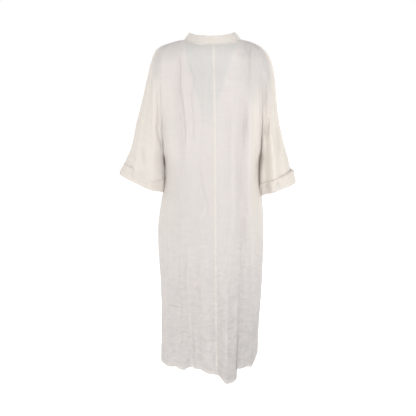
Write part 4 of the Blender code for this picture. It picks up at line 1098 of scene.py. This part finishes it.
def cuff(name, quads, side):
    """Turned-up cuff round the end of one sleeve."""
    steps = np.concatenate([[0.0, 0.0, 0.0], np.linspace(0, 1, 17)])
    out_of = np.concatenate([[0.06, 0.40, 0.76], np.ones(17)])[:, None]   # the upper edge rolls onto the sleeve
    lines = []
    ci, co, _ = sleeve_lengths(side)
    proud = CUFF_PROUD[side]
    for t in steps:
        ring = []
        for face in "BF":
            n = 64
            share = np.linspace(0, 1, n + 1)
            if face == "F":
                share = share[::-1][1:-1]
            # the band between the cuff's upper edge and the fold at its foot
            p = sleeve_tube(side, face, ci + (1 - ci) * t, co + (1 - co) * t, share)
            ring.append(np.concatenate([p, share[:, None], np.full((len(share), 1), face == "B")], axis=1))
        lines.append(np.concatenate(ring))
    grid = np.array(lines)
    p, share, back = grid[..., :3], grid[..., 3], grid[..., 4]
    du = np.roll(p, -1, axis=1) - np.roll(p, 1, axis=1)
    dv = np.gradient(p[3:], axis=0)
    dv = np.concatenate([dv[:1]] * 3 + [dv])
    n = unit(np.cross(dv, du))
    centre = p.mean(axis=1, keepdims=True)
    if np.mean(np.sum(n * (p - centre), axis=-1)) < 0:
        n = -n
    t = steps[:, None]
    outer = smooth((share - 0.35) / 0.65)
    top = proud[1] + (proud[0] - proud[1]) * outer
    foot = proud[3] + (proud[2] - proud[3]) * outer
    off = (top + (foot - top) * t) * MM + 1.2 * MM
    if side == "R":                            # its upper edge springs out a little
        off += (1 - t) ** 3 * 0.8 * MM
    else:
        off -= (1 - t) ** 2 * 0.9 * MM
    off -= smooth((t - 0.88) / 0.12) * 1.0 * MM
    for s, f, at, width, up, down in CUFF_FOLDS:
        if s == side:
            here = back if f == "B" else 1 - back
            off += here * bump((share - at) / width) * (up + (down - up) * t) * MM
    valley_shade = np.zeros(off.shape)                  # painted shade: the folds' valleys are painted a little darker
    for s, f, at, width, up, down in CUFF_FOLDS:
        if s == side and down < -2:
            here = back if f == "B" else 1 - back
            valley_shade += here * bump((share - at) / (0.95 * width)) * smooth(t / 0.35) * min(1.0, -down / 5)
    valley_shade = np.clip(valley_shade, 0, 1)
    off += 0.5 * MM * noise(p * 34 + 2.2) + 0.22 * MM * noise(p * 90 + 8.8)
    off = off * out_of + 0.3 * MM * (1 - out_of)
    q = p + n * off[..., None]
    q[:3, :, 2] += np.array([1.0, 0.75, 0.3])[:, None] * (0.6 * MM + 0.55 * np.maximum(off[3], 0.0))[None, :]
    if side == "L":                            # its foot sags in the middle
        sag = back * bump((share - 0.42) / 0.34) * t ** 2
        q[..., 2] -= 6.5 * MM * sag
    q[-1, :, 2] -= 0.6 * MM
    du = np.roll(q, -1, axis=1) - np.roll(q, 1, axis=1)
    skin = unit(np.cross(np.gradient(q, axis=0), du))
    n = np.where(np.sum(skin * n, axis=-1, keepdims=True) < -0.2, -skin, skin)
    ids = np.arange(q[..., 0].size).reshape(q.shape[:2])
    ids = np.concatenate([ids, ids[:, :1]], axis=1)
    faces = grid_quads(ids, False)
    # outward faces
    a, b, c = (q.reshape(-1, 3)[faces[:, k]] for k in (0, 1, 2))
    if np.mean(np.sum(np.cross(b - a, c - a) * n.reshape(-1, 3)[faces[:, 0]], axis=1)) < 0:
        faces = faces[:, ::-1]
    u = lengths(q, 1)
    v = lengths(q, 0)
    edge = np.maximum(smooth((7 * MM - v) / (1.5 * MM)), 0.75 + 0 * v)
    # the painted valley shade takes cream out and puts the shade colour in
    return make_shell(name, q.reshape(-1, 3), n.reshape(-1, 3), faces, DOUBLE,
                      np.stack([u, -v], -1).reshape(-1, 2), doubled=(edge * (1 - 0.85 * valley_shade)).ravel(),
                      warm=(1 - 0.8 * valley_shade).ravel(), low=(0.9 * valley_shade).ravel(), single=np.zeros(edge.size),
                      press=np.zeros(edge.size))


def collar(name):
    """Band collar from one top of the V round the back to the other."""
    fine = []
    for side, order in (("L", 1), ("R", -1)):
        f = neck_line(side, "F", np.linspace(0, 1, 13)[:-1])
        b = neck_line(side, "B", np.linspace(1, 0, 100))
        b[:, 1] = np.where(np.arange(100) == 0, 0.0, b[:, 1])
        line = np.concatenate([f, b if side == "L" else b[:-1]])
        fine.append(line if order == 1 else line[::-1])
    raw = np.concatenate(fine)
    for _ in range(10):       # soften the corner at the shoulder point
        raw[1:-1] = 0.5 * raw[1:-1] + 0.25 * (raw[:-2] + raw[2:])
    run = np.concatenate([[0], np.cumsum(np.linalg.norm(np.diff(raw, axis=0), axis=1))])
    cols = 170
    at = np.linspace(0, run[-1], cols + 1)
    lower = np.stack([np.interp(at, run, raw[:, k]) for k in range(3)], -1)
    lower[:, 2] += COLLAR_LIFT
    along = unit(np.gradient(lower, axis=0))
    out = unit(np.stack([-along[:, 1], along[:, 0], 0 * at], -1))
    flip = np.sum(out * (lower + np.array([0, 0.01, -lower[0, 2]]) * [1, 1, 0]), axis=1) < 0
    out[flip] *= -1
    sideways = np.minimum(1.0, np.abs(lower[:, 0]) / 0.088) ** 2
    lean = np.radians(12 + 26 * sideways)[:, None]
    up = -out * np.sin(lean) + np.array([0, 0, 1.0]) * np.cos(lean)
    rows = 14
    share = at / run[-1]
    # rounded front ends
    end = np.minimum(at, run[-1] - at)
    height = COLLAR_HEIGHT * (1 - 0.32 * np.exp(-(end / (7 * MM)) ** 2))
    height = height + 0.5 * MM * np.sin(share * 19 + 0.6) + 0.35 * MM * np.sin(share * 47 + 2)
    height = height + 3.2 * MM * np.clip((0.004 - lower[:, 0]) / 0.068, 0, 1) * smooth((lower[:, 1] + 0.01) / 0.03)
    t = np.linspace(0, 1, rows + 1)[:, None]
    p = lower[None] + up[None] * (height[None, :] * t)[..., None]
    n = unit(np.cross(up, along))
    n[np.sum(n * out, axis=1) < 0] *= -1
    n = np.repeat(n[None], rows + 1, axis=0)
    off = -0.7 * MM + 0.9 * MM * np.sin(math.pi * t) + 0.55 * MM * noise(p * 38 + 4.4) + 0.2 * MM * noise(p * 110 + 1.3)
    # creases where the band bends round the neck
    for where, width, high, tilt in ((0.22, 0.010, -1.1, 0.010), (0.27, 0.008, 0.8, -0.006), (0.36, 0.007, -0.7, 0.008),
                                     (0.47, 0.006, -0.6, 0.004), (0.58, 0.008, -0.7, -0.008),
                                     (0.70, 0.009, -1.0, -0.012), (0.76, 0.008, 0.8, 0.006), (0.66, 0.006, 0.6, 0.004)):
        off = off + high * MM * bump((share[None] + tilt * t - where) / width) * (0.35 + 0.65 * t)
    stitch = bump((t * COLLAR_HEIGHT - 2.4 * MM) / (0.9 * MM)) + bump((t * COLLAR_HEIGHT - 24.6 * MM) / (0.9 * MM))
    off = off - 0.28 * MM * stitch
    p = p + n * off[..., None]
    ids = np.arange(p[..., 0].size).reshape(p.shape[:2])
    faces = grid_quads(ids, False)
    flat, nf = p.reshape(-1, 3), n.reshape(-1, 3)
    a, b, c = (flat[faces[:, k]] for k in (0, 1, 2))
    if np.mean(np.sum(np.cross(b - a, c - a) * nf[faces[:, 0]], axis=1)) < 0:
        faces = faces[:, ::-1]
    u = np.repeat(at[None], rows + 1, axis=0)
    v = height[None, :] * t
    return make_shell(name, flat, nf, faces, DOUBLE, np.stack([u, v], -1).reshape(-1, 2),
                      doubled=np.full(u.size, 0.35), warm=np.full(u.size, 0.2), low=np.zeros(u.size),
                      single=np.zeros(u.size), press=np.zeros(u.size))


# ------------------------------------------------------------- materials
def node(tree, kind, **inputs):
    n = tree.nodes.new(kind)
    for key, value in inputs.items():
        if key.startswith("set_"):
            setattr(n, key[4:], value)
        else:
            n.inputs[key.replace("_", " ")].default_value = value
    return n


def linen(name, pale, cream, painted_shade_colour, see_through_shade_colour, see_through, glow):
    """Plain-woven linen: uneven threads both ways, a soft bloom, light that
    passes through, creamier where the cloth is doubled, with painted shade,
    painted see-through shade and painted crease highlights."""
    mat = bpy.data.materials.new(name)
    mat.use_nodes = True
    tree = mat.node_tree
    tree.nodes.clear()
    link = tree.links.new
    out = tree.nodes.new("ShaderNodeOutputMaterial")
    uv = node(tree, "ShaderNodeUVMap", set_uv_map="cut")

    def threads(scale_u, scale_v, detail, turn=0.0):
        m = tree.nodes.new("ShaderNodeMapping")
        m.inputs["Scale"].default_value = (scale_u, scale_v, 1.0)
        m.inputs["Rotation"].default_value = (0.0, 0.0, turn)
        link(uv.outputs["UV"], m.inputs["Vector"])
        t = node(tree, "ShaderNodeTexNoise", Scale=1.0, Detail=detail, Roughness=0.55)
        t.noise_dimensions = "2D"
        link(m.outputs["Vector"], t.inputs["Vector"])
        return t.outputs["Fac"]

    def math_node(kind, a, b=None, c=None):
        n = tree.nodes.new("ShaderNodeMath")
        n.operation = kind
        for socket, value in zip(n.inputs, (a, b, c)):
            if value is None:
                continue
            if isinstance(value, (int, float)):
                socket.default_value = value
            else:
                link(value, socket)
        return n.outputs[0]

    def attribute(key):
        a = node(tree, "ShaderNodeAttribute", set_attribute_type="GEOMETRY", set_attribute_name=key)
        return a.outputs["Fac"]

    def mix(fac, a, b):
        n = tree.nodes.new("ShaderNodeMix")
        n.data_type = "RGBA"
        for socket, value in ((n.inputs[0], fac), (n.inputs[6], a), (n.inputs[7], b)):
            if isinstance(value, (int, float)):
                socket.default_value = value
            elif isinstance(value, tuple):
                socket.default_value = (*value, 1.0)
            else:
                link(value, socket)
        return n.outputs[2]

    weft = threads(38.0, 1300.0, 2.0)
    warp = threads(1300.0, 34.0, 2.0)
    slub_weft = threads(16.0, 420.0, 1.0)
    slub_warp = threads(420.0, 14.0, 1.0)
    cloud = threads(9.0, 6.0, 2.0)
    weave = math_node("ADD", weft, warp)
    slub = math_node("ADD", slub_weft, slub_warp)
    fine = math_node("MULTIPLY_ADD", slub, 0.6, weave)           # about 1.6 on average
    shade = math_node("MULTIPLY_ADD", fine, 0.07, 0.873)
    tone_and_highlight = math_node("MULTIPLY_ADD", cloud, 0.03, shade)
    doubled = attribute("doubled")
    warm = attribute("warm")
    low = attribute("low")
    press = attribute("press")
    see_through_shade = attribute("single")
    # painted shade: low mixes in the darker shade colour, and single mixes in the cooler painted see-through shade
    body = mix(low, pale, painted_shade_colour)
    toned = mix(see_through_shade, mix(warm, body, cream), see_through_shade_colour)
    colour = mix(doubled, toned, cream)
    # painted highlights: thin paler lines that lean both ways, where the creases' edges catch the light
    crease_highlight = None
    for scale_u, scale_v, turn in ((7.0, 33.0, 0.45), (9.0, 38.0, -0.30), (30.0, 8.0, 0.18)):
        one = threads(scale_u, scale_v, 1.0, turn)
        ridge = math_node("ABSOLUTE", math_node("MULTIPLY_ADD", one, 2.0, -1.0))
        ridge = math_node("POWER", math_node("SUBTRACT", 1.0, ridge), 24.0)
        crease_highlight = ridge if crease_highlight is None else math_node("ADD", crease_highlight, ridge)
    crease_highlight = math_node("MULTIPLY", crease_highlight, math_node("MULTIPLY_ADD", math_node("POWER", press, 0.8), 1.15, 0.06))
    tone_and_highlight = math_node("MULTIPLY_ADD", crease_highlight, 0.055, tone_and_highlight)
    times = tree.nodes.new("ShaderNodeVectorMath")
    times.operation = "SCALE"
    link(colour, times.inputs[0])
    link(tone_and_highlight, times.inputs["Scale"])

    height = math_node("MULTIPLY_ADD", slub, 0.7, weave)
    bump_node = node(tree, "ShaderNodeBump", Strength=0.32, Distance=0.00035)
    link(height, bump_node.inputs["Height"])
    # fine lines where the linen was pressed and packed, mostly low down
    lines = None
    for scale_u, scale_v in ((11.0, 26.0), (26.0, 17.0), (19.0, 44.0)):
        one = threads(scale_u, scale_v, 1.5)
        ridge = math_node("ABSOLUTE", math_node("MULTIPLY_ADD", one, 2.0, -1.0))
        ridge = math_node("POWER", math_node("SUBTRACT", 1.0, ridge), 7.0)
        lines = ridge if lines is None else math_node("ADD", lines, ridge)
    much = math_node("MULTIPLY_ADD", math_node("POWER", press, 0.5), 0.88, 0.12)
    pressed = node(tree, "ShaderNodeBump", Strength=1.0, Distance=0.0020)
    link(math_node("MULTIPLY", lines, much), pressed.inputs["Height"])
    link(bump_node.outputs["Normal"], pressed.inputs["Normal"])

    cloth = node(tree, "ShaderNodeBsdfPrincipled", Roughness=0.88)
    cloth.inputs["Specular IOR Level"].default_value = 0.18
    cloth.inputs["Sheen Weight"].default_value = 0.18
    cloth.inputs["Sheen Roughness"].default_value = 0.55
    cloth.inputs["Sheen Tint"].default_value = (1.0, 0.98, 0.95, 1.0)
    link(times.outputs[0], cloth.inputs["Base Color"])
    link(pressed.outputs["Normal"], cloth.inputs["Normal"])
    through = tree.nodes.new("ShaderNodeBsdfTranslucent")
    link(times.outputs[0], through.inputs["Color"])
    clear = tree.nodes.new("ShaderNodeBsdfTransparent")
    soft = tree.nodes.new("ShaderNodeMixShader")
    soft.inputs[0].default_value = glow
    link(cloth.outputs[0], soft.inputs[1])
    link(through.outputs[0], soft.inputs[2])
    if see_through > 0:
        open_weave = tree.nodes.new("ShaderNodeMixShader")
        gap = math_node("MULTIPLY_ADD", doubled, -see_through * 0.8, see_through)
        link(gap, open_weave.inputs[0])
        link(soft.outputs[0], open_weave.inputs[1])
        link(clear.outputs[0], open_weave.inputs[2])
        link(open_weave.outputs[0], out.inputs["Surface"])
    else:
        link(soft.outputs[0], out.inputs["Surface"])
    return mat


def plain(name, colour, rough, glow=0.0):
    mat = bpy.data.materials.new(name)
    mat.use_nodes = True
    bsdf = mat.node_tree.nodes["Principled BSDF"]
    bsdf.inputs["Base Color"].default_value = (*colour, 1.0)
    bsdf.inputs["Roughness"].default_value = rough
    if glow:
        bsdf.inputs["Emission Color"].default_value = (1.0, 1.0, 1.0, 1.0)
        bsdf.inputs["Emission Strength"].default_value = glow
    return mat


# ----------------------------------------------------------------- stage
def area_light(name, where, aim, size, power, colour=(1.0, 1.0, 1.0)):
    data = bpy.data.lights.new(name, "AREA")
    data.shape = "DISK"
    data.size = size
    data.energy = power
    data.color = colour
    obj = bpy.data.objects.new(name, data)
    bpy.context.scene.collection.objects.link(obj)
    d = np.array(aim, float) - np.array(where, float)
    yaw = math.atan2(d[0], -d[1])
    pitch = math.atan2(math.hypot(d[0], d[1]), -d[2])
    obj.location = where
    obj.rotation_euler = (pitch, 0.0, yaw + math.pi)
    return obj


def studio():
    scene = bpy.context.scene
    scene.view_settings.view_transform = "Standard"
    scene.view_settings.look = "None"
    world = bpy.data.worlds.new("studio")
    world.use_nodes = True
    tree = world.node_tree
    back = tree.nodes["Background"]
    back.inputs["Color"].default_value = (0.99, 0.995, 1.0, 1.0)
    back.inputs["Strength"].default_value = 0.58
    white = tree.nodes.new("ShaderNodeBackground")
    white.inputs["Color"].default_value = (1.0, 1.0, 1.0, 1.0)
    path = tree.nodes.new("ShaderNodeLightPath")
    both = tree.nodes.new("ShaderNodeMixShader")
    tree.links.new(path.outputs["Is Camera Ray"], both.inputs[0])
    tree.links.new(back.outputs[0], both.inputs[1])
    tree.links.new(white.outputs[0], both.inputs[2])
    tree.links.new(both.outputs[0], tree.nodes["World Output"].inputs["Surface"])
    scene.world = world
    mesh = bpy.data.meshes.new("floor")
    r = 90.0
    mesh.from_pydata([(-r, -r, FLOOR_Z), (r, -r, FLOOR_Z), (r, r, FLOOR_Z), (-r, r, FLOOR_Z)], [], [(0, 1, 2, 3)])
    floor = bpy.data.objects.new("floor", mesh)
    scene.collection.objects.link(floor)
    mesh.materials.append(plain("floor_white", (0.93, 0.93, 0.93), 0.9, 0.56))
    area_light("key", (1.5, 1.9, 0.20), (0.0, 0.0, -0.35), 0.8, 18.0, (1.0, 0.985, 0.97))
    area_light("fill", (-1.2, 2.3, 0.25), (0.0, 0.0, -0.30), 1.6, 20.0, (0.99, 0.99, 1.0))
    area_light("side_right", (-2.4, 0.9, 0.2), (0.0, 0.0, -0.25), 1.6, 15.0, (1.0, 0.99, 0.98))
    area_light("front_key", (-1.5, -1.9, 0.20), (0.0, 0.0, -0.35), 0.8, 24.0, (1.0, 0.985, 0.97))
    area_light("front_fill", (1.2, -2.3, 0.25), (0.0, 0.0, -0.30), 1.6, 22.0, (0.99, 0.99, 1.0))
    area_light("side_left", (2.4, -0.9, 0.2), (0.0, 0.0, -0.25), 1.6, 14.0, (1.0, 0.99, 0.98))
    area_light("top", (0.0, 0.5, 2.0), (0.0, 0.0, 0.0), 1.6, 10.5, (1.0, 1.0, 1.0))

    cam = bpy.data.cameras.new("photo_camera")
    cam.lens = 69.57
    cam.sensor_width = 36.0
    cam.clip_end = 400.0
    camera = bpy.data.objects.new("photo_camera", cam)
    camera.location = (0.0132, 2.6, 0.0)
    camera.rotation_euler = (math.radians(78.54), 0.0, math.radians(180.0))
    scene.collection.objects.link(camera)
    scene.camera = camera


def main():
    quads = prepare()
    # after the pale and the cream colours come the painted shade colour and the painted see-through shade colour
    single = linen("linen", (0.72, 0.685, 0.669), (0.773, 0.737, 0.682), (0.57, 0.546, 0.533), (0.675, 0.663, 0.643),
                   0.04, 0.34)
    double = linen("linen_double", (0.622, 0.593, 0.562), (0.682, 0.637, 0.586), (0.50, 0.467, 0.434), (0.67, 0.64, 0.61),
                   0.0, 0.20)
    pieces = {
        "back_left": dress_panel("cloth_back_left", [quads["L", "B"]]),
        "back_right": dress_panel("cloth_back_right", [quads["R", "B"]]),
        "front": dress_panel("cloth_front", [quads["L", "F"], quads["R", "F"]]),
        "collar": collar("cloth_collar"),
        "cuff_left": cuff("cloth_cuff_left", quads, "L"),
        "cuff_right": cuff("cloth_cuff_right", quads, "R"),
    }
    for name, obj in pieces.items():
        doubled = name in ("collar", "cuff_left", "cuff_right")
        obj.data.materials.append(double if doubled else single)
        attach(obj, "root")
        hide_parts(name)


main()
studio()
